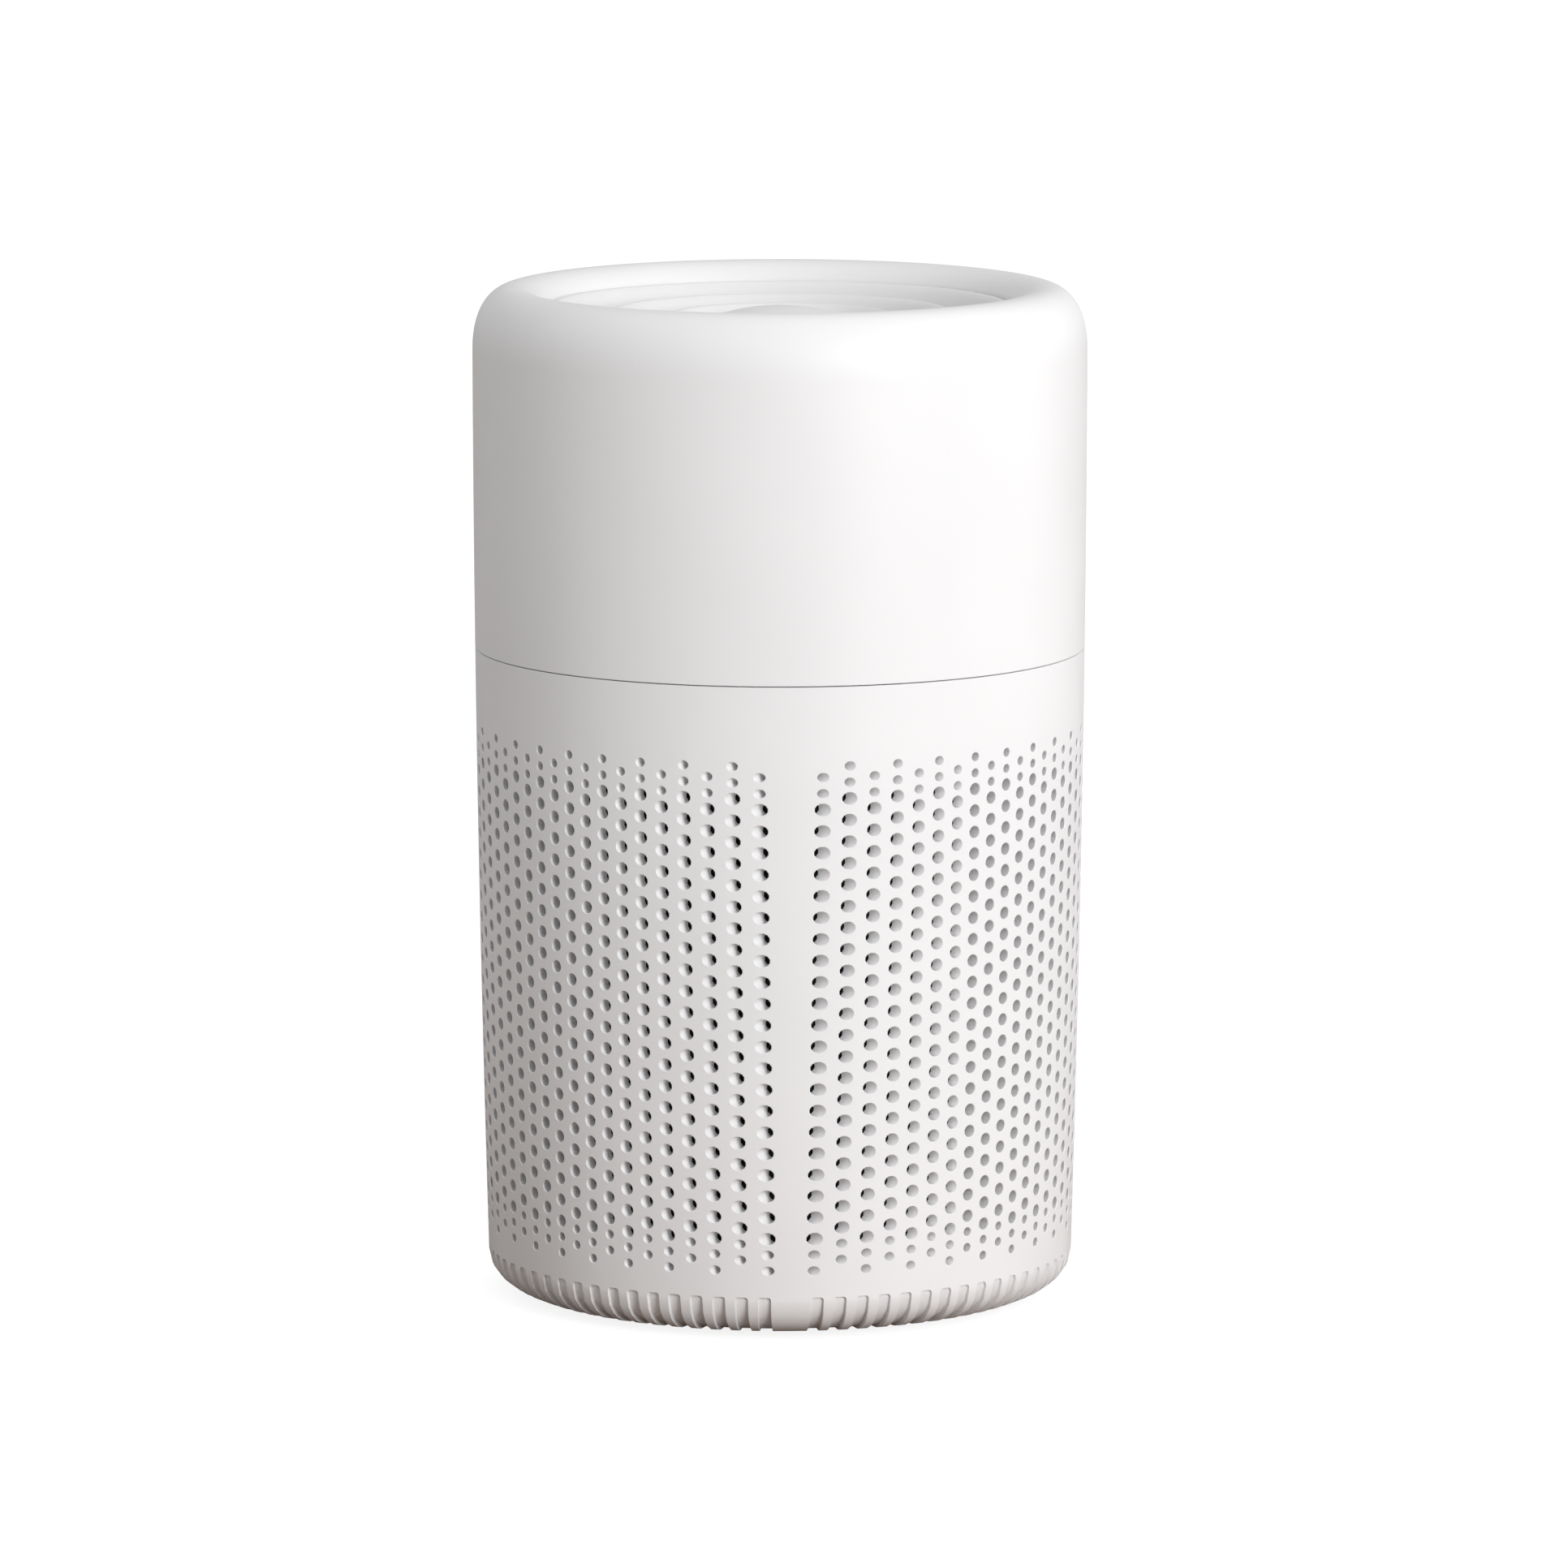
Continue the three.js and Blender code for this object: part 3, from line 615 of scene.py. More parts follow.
def upper_outline():
    bottom = side_radius(UPPER_SEAM)
    outside = quarter_arc((bottom - LIP, UPPER_SEAM + LIP), LIP, 270, 360, 3)
    outside += [(side_radius(z), z) for z in (UPPER_SEAM + 2 * LIP, UPPER_SEAM + 1, 180, 195, 210, 225)]
    rim_across, rim_high = WIDEST - CREST, HEIGHT - RIM_START
    rim = oval_arc((CREST, RIM_START), rim_across, rim_high, 0, 90, 22, 2.25)
    bowl = oval_arc((CREST, BOWL_CORNER), CREST - BOWL, HEIGHT - BOWL_CORNER, 90, 180, 14)[1:]
    foot_of_bowl = [(BOWL, 245), (BOWL, 240), (BOWL, BOWL_BOTTOM + 0.3), (BOWL + 0.3, BOWL_BOTTOM),
                    (BOWL + WALL - 0.3, BOWL_BOTTOM), (BOWL + WALL, BOWL_BOTTOM + 0.3)]
    hidden = oval_arc((CREST, BOWL_CORNER), CREST - BOWL - WALL, HEIGHT - BOWL_CORNER - WALL, 180, 90, 8)
    hidden += oval_arc((CREST, RIM_START), rim_across - WALL, rim_high - WALL, 90, 0, 10, 2.25)[1:]
    inside = [(side_radius(z) - WALL, z) for z in (225, 210, 195, 180)]
    lip_inside = quarter_arc((bottom - WALL + LIP, UPPER_SEAM + LIP), LIP, 180, 270, 3)
    return outside + rim + bowl + foot_of_bowl + hidden + inside + lip_inside


upper_housing = spun("upper_housing_moulding", upper_outline(), 224, 30)
inlet_low, inlet_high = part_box("dc_inlet")
INLET_Z = (inlet_low[2] + inlet_high[2]) / 2 / MM


def cut_with(piece, tool):
    select_only(piece)
    boolean = piece.modifiers.new("cut", "BOOLEAN")
    boolean.operation = "DIFFERENCE"
    boolean.solver = "EXACT"
    boolean.object = tool
    bpy.ops.object.modifier_apply(modifier=boolean.name)
    bpy.data.objects.remove(tool)


bpy.ops.object.select_all(action="DESELECT")
bpy.ops.mesh.primitive_cylinder_add(vertices=48, radius=4.4 * MM, depth=12 * MM,
                                    location=(0, 76 * MM, INLET_Z * MM), rotation=(math.pi / 2, 0, 0))
bpy.ops.object.transform_apply(location=True, rotation=True, scale=True)
cut_with(upper_housing, bpy.context.object)
tidy_faces(upper_housing, 30)

# The bosses that take the deck screws stand on the wall, those of the grille hang from
# the rim's roof.
inner_bosses = []
for number, degrees in enumerate((22.5, 157.5, 202.5, 337.5)):
    turn = math.radians(degrees)
    post = upright(f"deck_boss_{number}", 3.8, 161.8, 182, 67 * math.cos(turn), 67 * math.sin(turn), 32)
    inner_bosses.append(post)
for number, degrees in enumerate((30, 150, 270)):
    turn = math.radians(degrees)
    post = upright(f"grille_boss_{number}", 3.4, BOWL_BOTTOM, 254.2, 68 * math.cos(turn),
                   68 * math.sin(turn), 32)
    inner_bosses.append(post)
for boss in inner_bosses:
    apply_bevel(boss, 0.3)
    tidy_faces(boss)
upper_housing = join_pieces("upper_housing_moulding", [upper_housing, *inner_bosses])
upper_housing.data.materials.clear()
upper_housing.data.materials.append(white_abs)
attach(upper_housing, "upper_unit")
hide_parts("upper_housing")

# ---------------------------------------------------------------------------------------
# Outlet grille: one white ABS moulding of three cone-shaped louvre rings on six spokes,
# round the collar that guides the button. It is screwed up into the rim from below.
louvre_sizes = ((57.9, 50.8, 251.6, 7.8), (43.0, 35.9, 249.9, 7.8), (28.1, 22.0, 249.1, 5.0))
grille_parts = []
for number, (outer, inner, top, drop) in enumerate(louvre_sizes):
    ring = [(outer - 2.9, top - 1.62), (outer - 2.4, top - 1.04), (outer - 1.9, top - 0.56),
            (outer - 1.4, top - 0.2), (outer - 0.95, top - 0.03), (outer - 0.6, top - 0.02),
            (outer - 0.25, top - 0.14), (outer - 0.06, top - 0.34), (outer, top - 0.6),
            (outer - 0.2, top - 1.4), (outer - 0.6, top - 2.2)]
    ring += [(inner + 0.3, top - drop - 1.65), (inner, top - drop - 1.35), (inner, top - drop - 0.3),
             (inner + 0.25, top - drop + 0.2)]
    for k in range(1, 5):
        part = k / 5
        run = outer - 2.9 - inner - 0.25
        height = top - drop + 0.2 + (drop - 1.82) * part + 0.2 * math.sin(math.pi * part)
        ring.append((inner + 0.25 + run * part, height))
    grille_parts.append(spun(f"louvre_{number}", ring, 192, 30))
GRILLE_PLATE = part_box("outlet_grille")[0][2] / MM + 3.2
plate = [(56, GRILLE_PLATE), (70.5, GRILLE_PLATE), (70.5, GRILLE_PLATE + 3), (56, GRILLE_PLATE + 3)]
grille_parts.append(spun("grille_plate", plate, 128))
collar = [(0, 229.5), (22.0, 229.5), (22.3, 229.8), (22.3, 244.3), (22.0, 244.6), (20.6, 244.6),
          (20.3, 244.3), (20.3, 231.5), (0, 231.5)]
grille_parts.append(spun("button_collar", collar, 96))
for number in range(6):
    turn = math.radians(60 * number)
    bpy.ops.object.select_all(action="DESELECT")
    bpy.ops.mesh.primitive_cube_add(size=1, location=(0, 0, 0))
    spoke = bpy.context.object
    corners = {(-1, -1): (21, 234), (1, -1): (58, 233.3), (1, 1): (58, 244.2), (-1, 1): (21, 240)}
    for vertex in spoke.data.vertices:
        side = (round(math.copysign(1, vertex.co.x)), round(math.copysign(1, vertex.co.z)))
        radius, height = corners[side]
        vertex.co = (radius * MM, math.copysign(1.0 * MM, vertex.co.y), height * MM)
    spoke.data.transform(Matrix.Rotation(turn, 4, "Z"))
    apply_bevel(spoke, 0.25)
    tidy_faces(spoke)
    grille_parts.append(spoke)
grille = join_pieces("outlet_grille_moulding", grille_parts)
grille_abs = make_white_abs("louvre_white_abs", "#EFEFEF", "#ECECEC", 0.5)
grille.data.materials.clear()
grille.data.materials.append(grille_abs)
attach(grille, "upper_unit")
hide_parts("outlet_grille")

# ---------------------------------------------------------------------------------------
# Power button: a shallow white dome with a skirt that slides in the collar. Its stem
# presses the switch, and a coil spring round the stem lifts it again.
button_low, button_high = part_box("button_cap")
DOME_TOP = button_high[2] / MM
DOME_RADIUS = button_high[0] / MM
DOME_CURVE = 52.0


def dome_height(radius, inset=0.0):
    sphere = DOME_CURVE - inset
    return DOME_TOP - inset - (sphere - math.sqrt(sphere * sphere - radius * radius))


rounded = 0.8
dome_edge = DOME_RADIUS - rounded
button_outline = [(0, dome_height(0))]
button_outline += [(r, dome_height(r)) for r in (2.5, 5, 7.5, 10, 12.5, 15, 17, 18.4)]
button_outline += quarter_arc((dome_edge, dome_height(dome_edge) - rounded), rounded, 70, 0, 6)
button_outline += [(DOME_RADIUS, 239.3), (DOME_RADIUS - 0.3, 239), (18.4, 239), (18.2, 239.2)]
button_outline += [(r, dome_height(r, 1.8)) for r in (18.2, 14, 10, 6, 2.9)]
button_outline += [(2.5, 248.9), (2.5, 242.2), (2.2, 241.9), (0, 241.9)]
button = spun("power_button", button_outline, 128, 30)
button_abs = make_white_abs("button_white_abs", "#EFEFEF", "#ECECEC", 0.42)
button.data.materials.append(button_abs)
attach(button, "button")
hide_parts("button_cap")

# ---------------------------------------------------------------------------------------
# Prefilter: a sleeve of black woven nylon stretched round the cartridge and welded along
# one upright line. The threads are about 0.3 mm thick and 1.2 mm apart.
sleeve_low, sleeve_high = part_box("prefilter_mesh")
SLEEVE_LOW, SLEEVE_HIGH = sleeve_low[2] / MM, sleeve_high[2] / MM
sleeve_outline = [(62.5, SLEEVE_LOW), (63.5, SLEEVE_LOW), (63.6, SLEEVE_LOW + 2), (63.5, SLEEVE_LOW + 40),
                  (63.6, SLEEVE_LOW + 63), (63.5, SLEEVE_HIGH - 40), (63.6, SLEEVE_HIGH - 2),
                  (63.5, SLEEVE_HIGH), (62.5, SLEEVE_HIGH)]
sleeve = spun("prefilter_sleeve", sleeve_outline, 160)


def make_woven(name, warp, weft, thread_mm, depth_mm, roughness, flat=False):
    """Two crossing sets of threads, laid round the piece's axis and up it."""
    material, shader, place = new_material(name, Roughness=roughness)
    shader.inputs["Specular IOR Level"].default_value = 0.3
    axes = add_node(material, "ShaderNodeSeparateXYZ", links={"Vector": place})
    if flat:
        around = axes.outputs["X"]
        along = axes.outputs["Y"]
    else:
        turn = add_node(material, "ShaderNodeMath", {"operation": "ARCTAN2"},
                        links={0: axes.outputs["Y"], 1: axes.outputs["X"]})
        around = add_node(material, "ShaderNodeMath", {"operation": "MULTIPLY"}, {1: 63.5 * MM},
                          {0: turn.outputs[0]}).outputs[0]
        along = axes.outputs["Z"]
    waves = []
    for direction in (around, along):
        scaled = add_node(material, "ShaderNodeMath", {"operation": "MULTIPLY"},
                          {1: 2 * math.pi / (thread_mm * MM)}, {0: direction})
        wave = add_node(material, "ShaderNodeMath", {"operation": "SINE"}, links={0: scaled.outputs[0]})
        waves.append(wave.outputs[0])
    over = add_node(material, "ShaderNodeMath", {"operation": "MULTIPLY"}, links={0: waves[0], 1: waves[1]})
    level = add_node(material, "ShaderNodeMapRange", values={"From Min": -1.0, "From Max": 1.0},
                     links={"Value": over.outputs[0]})
    blend = add_node(material, "ShaderNodeMix", {"data_type": "RGBA"}, links={0: level.outputs["Result"]})
    blend.inputs[6].default_value = linear(warp)
    blend.inputs[7].default_value = linear(weft)
    relief = add_node(material, "ShaderNodeBump", values={"Strength": 0.8, "Distance": depth_mm * MM},
                      links={"Height": level.outputs["Result"]})
    return link_finish(material, shader, blend.outputs[2], relief)


nylon_mesh = make_woven("woven_black_nylon", "#17181A", "#3A3C3F", 2.4, 0.3, 0.7)
sleeve.data.materials.append(nylon_mesh)
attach(sleeve, "filter")
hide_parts("prefilter_mesh")

# ---------------------------------------------------------------------------------------
# Cartridge ends: two moulded caps of grey polypropylene, which gives a dull, faintly
# mottled face. The pleats are potted into them, and their outer edges are rolled.
def make_plain_plastic(name, colour, roughness, fleck=0.06, grain_mm=0.5, depth_mm=0.015):
    material, shader, place = new_material(name, IOR=1.5)
    shader.inputs["Specular IOR Level"].default_value = 0.45
    base = linear(colour)
    cloud = add_node(material, "ShaderNodeTexNoise", values={"Scale": 30.0, "Detail": 5.0},
                     links={"Vector": place})
    tint = add_node(material, "ShaderNodeValToRGB", links={"Fac": cloud.outputs["Fac"]})
    tint.color_ramp.elements[0].color = tuple(v * (1 - fleck) for v in base[:3]) + (1.0,)
    tint.color_ramp.elements[1].color = tuple(min(1.0, v * (1 + fleck)) for v in base[:3]) + (1.0,)
    gloss = add_node(material, "ShaderNodeMapRange",
                     values={"To Min": roughness - 0.06, "To Max": roughness + 0.06},
                     links={"Value": cloud.outputs["Fac"]})
    grain = add_node(material, "ShaderNodeTexNoise", values={"Scale": 1 / (grain_mm * MM)},
                     links={"Vector": place})
    relief = add_node(material, "ShaderNodeBump", values={"Strength": 0.4, "Distance": depth_mm * MM},
                      links={"Height": grain.outputs["Fac"]})
    return link_finish(material, shader, tint.outputs["Color"], relief, gloss)


grey_pp = make_plain_plastic("grey_polypropylene", "#8E9194", 0.5)
cap_low, cap_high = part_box("filter_bottom_cap")
low, high, edge = cap_low[2] / MM, cap_high[2] / MM, cap_high[0] / MM
bottom_cap_outline = [(0, low + 0.6), (52, low + 0.6), (53, low), (64.6, low),
                      *quarter_arc((64.6, low + 1.4), 1.4, 285, 360, 5), (edge, high - 0.5),
                      (edge - 0.5, high), (0, high)]
bottom_cap = spun("cartridge_bottom_cap", bottom_cap_outline, 160)
ring_low, ring_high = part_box("filter_top_ring")
low, high, edge = ring_low[2] / MM, ring_high[2] / MM, ring_high[0] / MM
top_ring_outline = [(40.5, low), (edge - 0.5, low), (edge, low + 0.5), (edge, high - 1.5),
                    *quarter_arc((edge - 1.5, high - 1.5), 1.5, 10, 90, 5), (54, high), (53.4, high - 0.6),
                    (51.6, high - 0.6), (51, high), (41.3, high), (40.5, high - 0.8)]
top_ring = spun("cartridge_top_ring", top_ring_outline, 160)
for cap, node_name in ((bottom_cap, "filter_bottom_cap"), (top_ring, "filter_top_ring")):
    cap.data.materials.append(grey_pp)
    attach(cap, "filter")
    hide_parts(node_name)

# ---------------------------------------------------------------------------------------
# Gasket: a die-cut ring of closed-cell foam, dead matt, with a domed face. It is glued to
# the top cap, and the fan unit presses on it.
gasket_low, gasket_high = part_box("filter_gasket")
low, high = gasket_low[2] / MM, gasket_high[2] / MM
gasket_outline = [(43.6, low), (49.9, low), (50.0, low + 0.7), (49.7, high - 1.1), (48.9, high - 0.25),
                  (47.2, high), (46.0, high), (44.5, high - 0.25), (43.8, high - 1.1), (43.5, low + 0.7)]
gasket = spun("foam_gasket", gasket_outline, 128)
black_foam = make_rubber("closed_cell_foam", "#242425", 0.95, 1.1)
gasket.data.materials.append(black_foam)
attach(gasket, "filter")
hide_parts("filter_gasket")

# ---------------------------------------------------------------------------------------
# Filter core, pleats and carbon: a white ABS cage, glass-fibre paper with a soft fibrous
# face, and a felt sleeve loaded with carbon grains, one over the other. Like most pieces
# inside, each keeps the shape of its CAD solid; only the cage has its edges eased.
def eased_copy(node_name, bevel_mm, degrees=32):
    """A copy of a CAD node with its loose triangles merged and its edges bevelled."""
    source = frame["nodes"][node_name]
    twin = source.copy()
    twin.data = source.data.copy()
    twin.animation_data_clear()
    twin.parent = None
    twin.matrix_world = Matrix.Identity(4)
    twin.name = f"{node_name}_part"
    twin.data.name = twin.name
    bpy.context.scene.collection.objects.link(twin)
    select_only(twin)
    bpy.ops.object.mode_set(mode="EDIT")
    bpy.ops.mesh.select_all(action="SELECT")
    bpy.ops.mesh.remove_doubles(threshold=1e-6)
    bpy.ops.mesh.dissolve_limited(angle_limit=math.radians(0.5))
    bpy.ops.object.mode_set(mode="OBJECT")
    if bevel_mm:
        apply_bevel(twin, bevel_mm, 2, 38)
    tidy_faces(twin, degrees)
    twin.data.materials.clear()
    return twin


body_of_node = {}
for body, names in frame["record"]["behaviour"]["bodies"].items():
    for node_name in names:
        body_of_node[node_name] = body


def stand_in(node_name, bevel_mm, material):
    """Puts an eased copy, in its own material, in the place of a CAD node."""
    twin = eased_copy(node_name, bevel_mm)
    twin.data.materials.append(material)
    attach(twin, body_of_node[node_name])
    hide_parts(node_name)
    return twin


def make_fibre(name, light, dark, grain_mm, depth_mm):
    material, shader, place = new_material(name, Roughness=0.95)
    shader.inputs["Specular IOR Level"].default_value = 0.15
    fibres = add_node(material, "ShaderNodeTexNoise",
                      values={"Scale": 1 / (grain_mm * MM), "Detail": 6.0, "Distortion": 1.5},
                      links={"Vector": place})
    tint = add_node(material, "ShaderNodeValToRGB", links={"Fac": fibres.outputs["Fac"]})
    tint.color_ramp.elements[0].position = 0.3
    tint.color_ramp.elements[0].color = linear(dark)
    tint.color_ramp.elements[1].position = 0.7
    tint.color_ramp.elements[1].color = linear(light)
    relief = add_node(material, "ShaderNodeBump", values={"Strength": 0.6, "Distance": depth_mm * MM},
                      links={"Height": fibres.outputs["Fac"]})
    return link_finish(material, shader, tint.outputs["Color"], relief)


glass_paper = make_fibre("glass_fibre_paper", "#F3F1EA", "#DEDBD1", 1.2, 0.08)
carbon_felt = make_fibre("carbon_felt", "#303134", "#121214", 1.6, 0.2)
cage_abs = make_plain_plastic("white_cage_abs", "#E4E3DF", 0.5, 0.02)
stand_in("filter_core", 0.3, cage_abs)
stand_in("hepa_media", 0, glass_paper)
stand_in("carbon_sleeve", 0, carbon_felt)

# ---------------------------------------------------------------------------------------
# Strap: a band of black polyester webbing for lifting the cartridge out. Its ends are
# heat-cut and bonded inside the core, and its coarse flat weave shows as small squares.
webbing = make_woven("polyester_webbing", "#1B1B1D", "#37383B", 1.4, 0.25, 0.8, flat=True)
stand_in("pull_strap", 0.15, webbing)

# ---------------------------------------------------------------------------------------
# Magnets, nut, bearings, motor can, shaft and spring: nickel, zinc and bare steel, turned
# or pressed, so their scratches run round the axis. The spring, of drawn wire, stands
# round the button's stem and shortens as the button goes down.
def make_metal(name, colour, roughness, scratch_mm=0.25):
    material, shader, place = new_material(name, Metallic=1.0)
    stretched = add_node(material, "ShaderNodeMapping", links={"Vector": place})
    stretched.inputs["Scale"].default_value = (1.0, 1.0, 8.0)
    scratches = add_node(material, "ShaderNodeTexNoise",
                         values={"Scale": 1 / (scratch_mm * MM * 4), "Detail": 5.0},
                         links={"Vector": stretched.outputs["Vector"]})
    base = linear(colour)
    tint = add_node(material, "ShaderNodeValToRGB", links={"Fac": scratches.outputs["Fac"]})
    tint.color_ramp.elements[0].color = tuple(v * 0.85 for v in base[:3]) + (1.0,)
    tint.color_ramp.elements[1].color = base
    gloss = add_node(material, "ShaderNodeMapRange",
                     values={"To Min": roughness - 0.08, "To Max": roughness + 0.1},
                     links={"Value": scratches.outputs["Fac"]})
    relief = add_node(material, "ShaderNodeBump", values={"Strength": 0.2, "Distance": 0.01 * MM},
                      links={"Height": scratches.outputs["Fac"]})
    return link_finish(material, shader, tint.outputs["Color"], relief, gloss)


zinc = make_metal("zinc_plated_steel", "#C3C6C9", 0.32)
nickel = make_metal("nickel_plate", "#CFC9BE", 0.22)
bare_steel = make_metal("pressed_bare_steel", "#A9ABAE", 0.36)
spring_wire = make_metal("drawn_spring_wire", "#B4B6B9", 0.28)
for node_name in ("interlock_magnet", "rotor_magnet"):
    stand_in(node_name, 0.2, nickel)
for node_name in ("rotor_can", "motor_shaft", "bearing_lower", "bearing_upper"):
    stand_in(node_name, 0.2, bare_steel)
stand_in("shaft_nut", 0.25, zinc)
spring = stand_in("button_spring", 0, spring_wire)
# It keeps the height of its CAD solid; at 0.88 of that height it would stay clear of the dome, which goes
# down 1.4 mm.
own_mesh(spring)

# ---------------------------------------------------------------------------------------
# Fan deck, motor mount, guard and wheel: glass-filled polypropylene, grey for the frame
# and near-black for the wheel, with a slightly fibrous matt face. The guard, the switches
# and the inlet are black acetal, and the two leads have a jacket of soft PVC.
deck_plastic = make_plain_plastic("grey_deck_plastic", "#96999C", 0.52)
fan_plastic = make_plain_plastic("glass_filled_black", "#2B2D2F", 0.5, 0.18, 0.8, 0.03)
black_plastic = make_plain_plastic("black_pom", "#161617", 0.45, 0.15)
stand_in("fan_deck", 0.3, deck_plastic)
stand_in("motor_mount", 0.3, deck_plastic)
stand_in("inlet_guard", 0.25, black_plastic)
stand_in("impeller", 0.2, fan_plastic)
for node_name in ("tact_switch", "reed_switch", "dc_inlet"):
    stand_in(node_name, 0.2, black_plastic)
for number in range(1, 5):
    stand_in(f"isolator_{number}", 0.3, black_rubber)
lead_jacket = make_rubber("pvc_lead_jacket", "#1A1A1B", 0.55, 1.5)
stand_in("control_lead", 0, lead_jacket)
stand_in("motor_lead", 0, lead_jacket)

# ---------------------------------------------------------------------------------------
# Stator: silicon-steel laminations with coils of enamelled copper wire, which give it its
# red-brown. One block stands for the whole stack and its windings.
copper = make_metal("enamelled_copper", "#B4663A", 0.35)
stand_in("stator", 0.25, copper)

# ---------------------------------------------------------------------------------------
# Circuit boards: glass-epoxy sheet routed to shape, under a half-gloss green solder mask
# with faint copper tracks below it. Each is held by two small screws.
def make_board():
    material, shader, place = new_material("green_solder_mask", Roughness=0.35)
    tracks = add_node(material, "ShaderNodeTexBrick",
                      values={"Scale": 1 / (3.2 * MM) / 4, "Mortar Size": 0.03}, links={"Vector": place})
    tracks.inputs["Color1"].default_value = linear("#1C5A3A")
    tracks.inputs["Color2"].default_value = linear("#1A5336")
    tracks.inputs["Mortar"].default_value = linear("#2F7A50")
    relief = add_node(material, "ShaderNodeBump", values={"Strength": 0.3, "Distance": 0.03 * MM},
                      links={"Height": tracks.outputs["Fac"]})
    return link_finish(material, shader, tracks.outputs["Color"], relief)


board_material = make_board()
stand_in("control_board", 0.1, board_material)
stand_in("driver_board", 0.1, board_material)

# ---------------------------------------------------------------------------------------
# Screws: zinc-plated pan heads with a cross recess, of five kinds in four lengths. Each
# kind is modelled once, upright, with the underside of its head at zero, and then copied.
def screw_master(name, length, head, head_high, shank):
    """Length of the shank, radius and height of the head, radius of the shank."""
    outline = [(0, -length), (shank * 0.6, -length), (shank, -length + 0.8), (shank, -0.2), (head - 0.3, 0),
               (head, 0.3), (head, head_high * 0.4)]
    outline += oval_arc((0, head_high * 0.4), head, head_high * 0.6, 12, 90, 6)
    master = spun(name, outline, 48)
    for turn in (0, math.pi / 2):
        bpy.ops.object.select_all(action="DESELECT")
        bpy.ops.mesh.primitive_cube_add(size=1, location=(0, 0, head_high * MM), rotation=(0, 0, turn),
                                        scale=(head * 1.1 * MM, head * 0.22 * MM, head_high * 1.1 * MM))
        bpy.ops.object.transform_apply(location=True, rotation=True, scale=True)
        cut_with(master, bpy.context.object)
    tidy_faces(master)
    master.data.materials.append(zinc)
    return master


def place_screw(master, node_name, head_down=False, along_y=False):
    """Puts a copy where the CAD screw is, by that node's own box."""
    low, high = (Vector(corner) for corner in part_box(node_name))
    centre = (low + high) / 2
    tall = max(v.co.z for v in master.data.vertices)
    if along_y:
        move = Matrix.Translation((centre.x, low.y + tall, centre.z)) @ Matrix.Rotation(math.pi / 2, 4, "X")
    elif head_down:
        move = Matrix.Translation((centre.x, centre.y, low.z + tall)) @ Matrix.Rotation(math.pi, 4, "X")
    else:
        move = Matrix.Translation((centre.x, centre.y, high.z - tall))
    twin = copy_of(master, f"{node_name}_part", move)
    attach(twin, body_of_node[node_name])
    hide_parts(node_name)


screw_kinds = (
    ("deck_screw", 4, (13, 3.1, 2.4, 1.5), {"head_down": True}),
    ("mount_screw", 4, (17.5, 3.1, 2.4, 1.5), {}),
    ("grille_screw", 3, (13, 2.9, 2.4, 1.5), {"head_down": True}),
    ("board_screw", 2, (3.8, 2.1, 1.5, 0.9), {}),
    ("driver_screw", 2, (6.6, 2.3, 1.5, 0.9), {"along_y": True}),
)
for kind, count, screw_size, way in screw_kinds:
    master = screw_master(f"{kind}_master", *screw_size)
    for number in range(1, count + 1):
        place_screw(master, f"{kind}_{number}", **way)
    bpy.data.objects.remove(master)

# ---------------------------------------------------------------------------------------
# Floor: a wide sheet that glows evenly white to the camera. In the light that it throws back
# it is tan round the object's foot and pale grey further out, a painted warm shade on the object's lower
# part.
bpy.ops.object.select_all(action="DESELECT")
bpy.ops.mesh.primitive_grid_add(x_subdivisions=4, y_subdivisions=4, size=60, location=(0, 0, -0.0002))
floor = bpy.context.object
floor.name = "paper_floor"
paper, paper_shader, paper_place = new_material("white_paper", Roughness=0.95)
paper_shader.inputs["Specular IOR Level"].default_value = 0.0
outwards = add_node(paper, "ShaderNodeVectorMath", {"operation": "LENGTH"}, links={0: paper_place})
# Seen only in bounced light: tan near the foot, pale grey further out, a painted warm shade on the object's
# lower part.
painted_bounce_shade = add_node(paper, "ShaderNodeValToRGB", links={"Fac": outwards.outputs["Value"]})
painted_bounce_shade.color_ramp.elements[0].position = 0.12
painted_bounce_shade.color_ramp.elements[0].color = linear("#7A6353")
painted_bounce_shade.color_ramp.elements[1].position = 0.5
painted_bounce_shade.color_ramp.elements[1].color = linear("#B4B0AC")
fibre = add_node(paper, "ShaderNodeTexNoise", values={"Scale": 600.0}, links={"Vector": paper_place})
sheet = add_node(paper, "ShaderNodeValToRGB", links={"Fac": fibre.outputs["Fac"]})
sheet.color_ramp.elements[0].color = linear("#959595")
sheet.color_ramp.elements[1].color = linear("#979797")
seen = add_node(paper, "ShaderNodeLightPath").outputs["Is Camera Ray"]
colour = add_node(paper, "ShaderNodeMix", {"data_type": "RGBA"}, links={0: seen})
paper.node_tree.links.new(painted_bounce_shade.outputs["Color"], colour.inputs[6])
paper.node_tree.links.new(sheet.outputs["Color"], colour.inputs[7])
glow = add_node(paper, "ShaderNodeMath", {"operation": "MULTIPLY"}, {1: 0.86}, {0: seen})
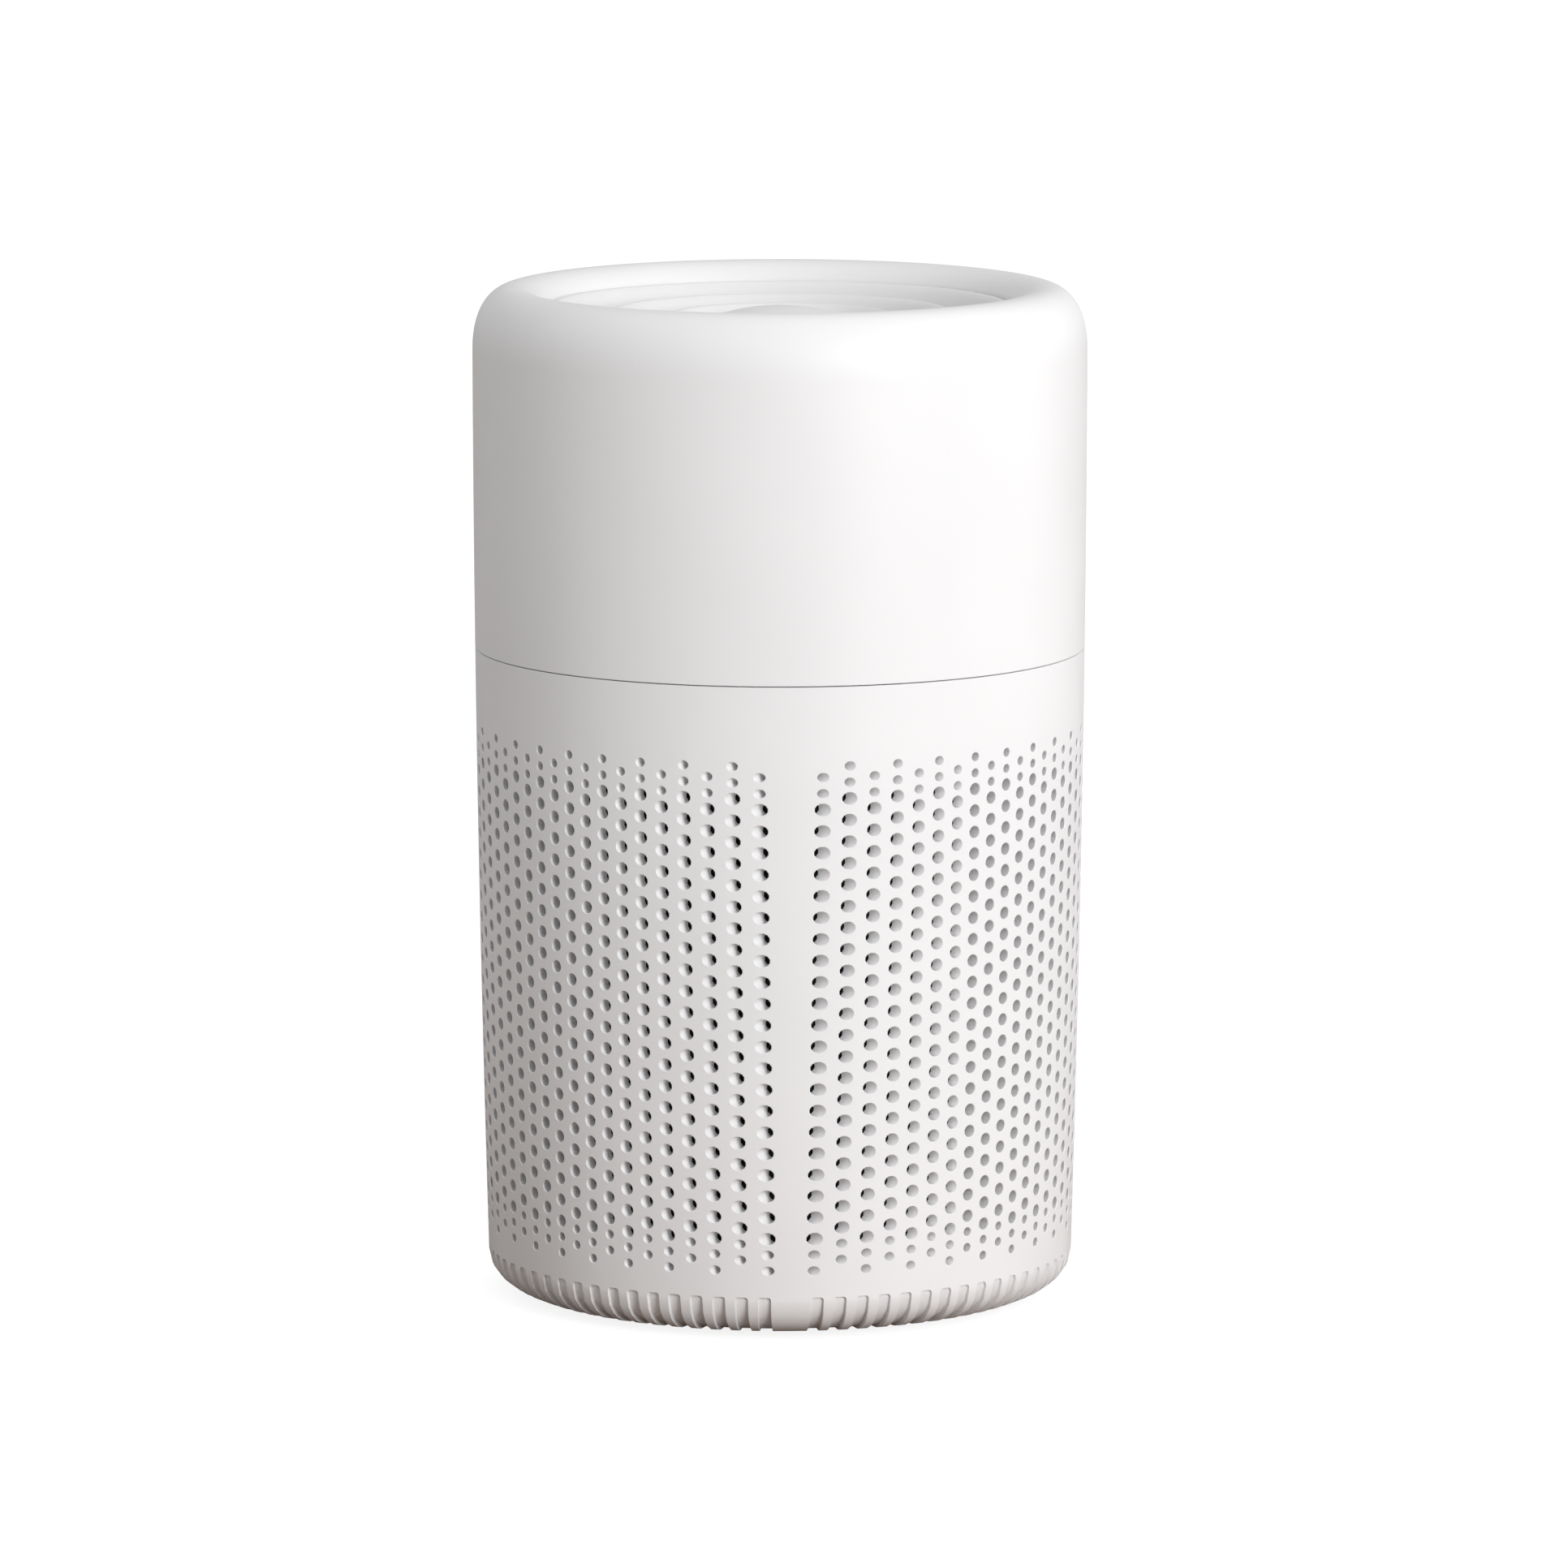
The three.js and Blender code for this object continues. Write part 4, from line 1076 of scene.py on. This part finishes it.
paper.node_tree.links.new(colour.outputs[2], paper_shader.inputs["Base Color"])
paper_shader.inputs["Emission Color"].default_value = (1, 1, 1, 1)
paper.node_tree.links.new(glow.outputs[0], paper_shader.inputs["Emission Strength"])
floor.data.materials.append(paper)

# ---------------------------------------------------------------------------------------
# Light: one big soft box to the front right, a tall weak one at the right edge, a dim one
# on the left that just lifts that edge, a faint one overhead, and a white surround.
def soft_box(name, azimuth, elevation, distance, size, watts):
    light = bpy.data.lights.new(name, "AREA")
    light.shape = "RECTANGLE"
    light.size, light.size_y = size
    light.energy = watts
    lamp = bpy.data.objects.new(name, light)
    bpy.context.scene.collection.objects.link(lamp)
    turn, rise = math.radians(azimuth), math.radians(elevation)
    middle = Vector((0, 0, 0.13))
    way = Vector((math.sin(turn) * math.cos(rise), -math.cos(turn) * math.cos(rise), math.sin(rise)))
    lamp.location = middle + distance * way
    lamp.rotation_euler = way.to_track_quat("Z", "Y").to_euler()


soft_box("key_right", 32, 13, 4.0, (1.6, 2.4), 109)
soft_box("edge_right", 100, 12, 2.0, (0.5, 1.6), 8)
soft_box("edge_left", -110, 15, 2.0, (0.5, 1.6), 2)
soft_box("overhead", 180, 75, 2.2, (1.6, 1.6), 3)
world = bpy.data.worlds.new("white_surround")
world.use_nodes = True
world.node_tree.nodes["Background"].inputs["Color"].default_value = (1, 1, 1, 1)
world.node_tree.nodes["Background"].inputs["Strength"].default_value = 0.57
bpy.context.scene.world = world
bpy.context.scene.view_settings.view_transform = "Standard"

# ---------------------------------------------------------------------------------------
# Camera: 2.5 m in front and a little above, with a long lens, so that the sides of the
# object stay nearly parallel. It looks slightly down, and a little to the right.
camera_data = bpy.data.cameras.new("camera")
camera_data.lens = 227.47
camera_data.sensor_width = 36
camera_data.clip_start = 0.05
camera_data.clip_end = 200
camera = bpy.data.objects.new("camera", camera_data)
bpy.context.scene.collection.objects.link(camera)
camera.location = (-0.0901, -2.4851, 0.5102)
camera.rotation_euler = (math.radians(90 - 8.712), 0, math.radians(-2.1))
bpy.context.scene.camera = camera
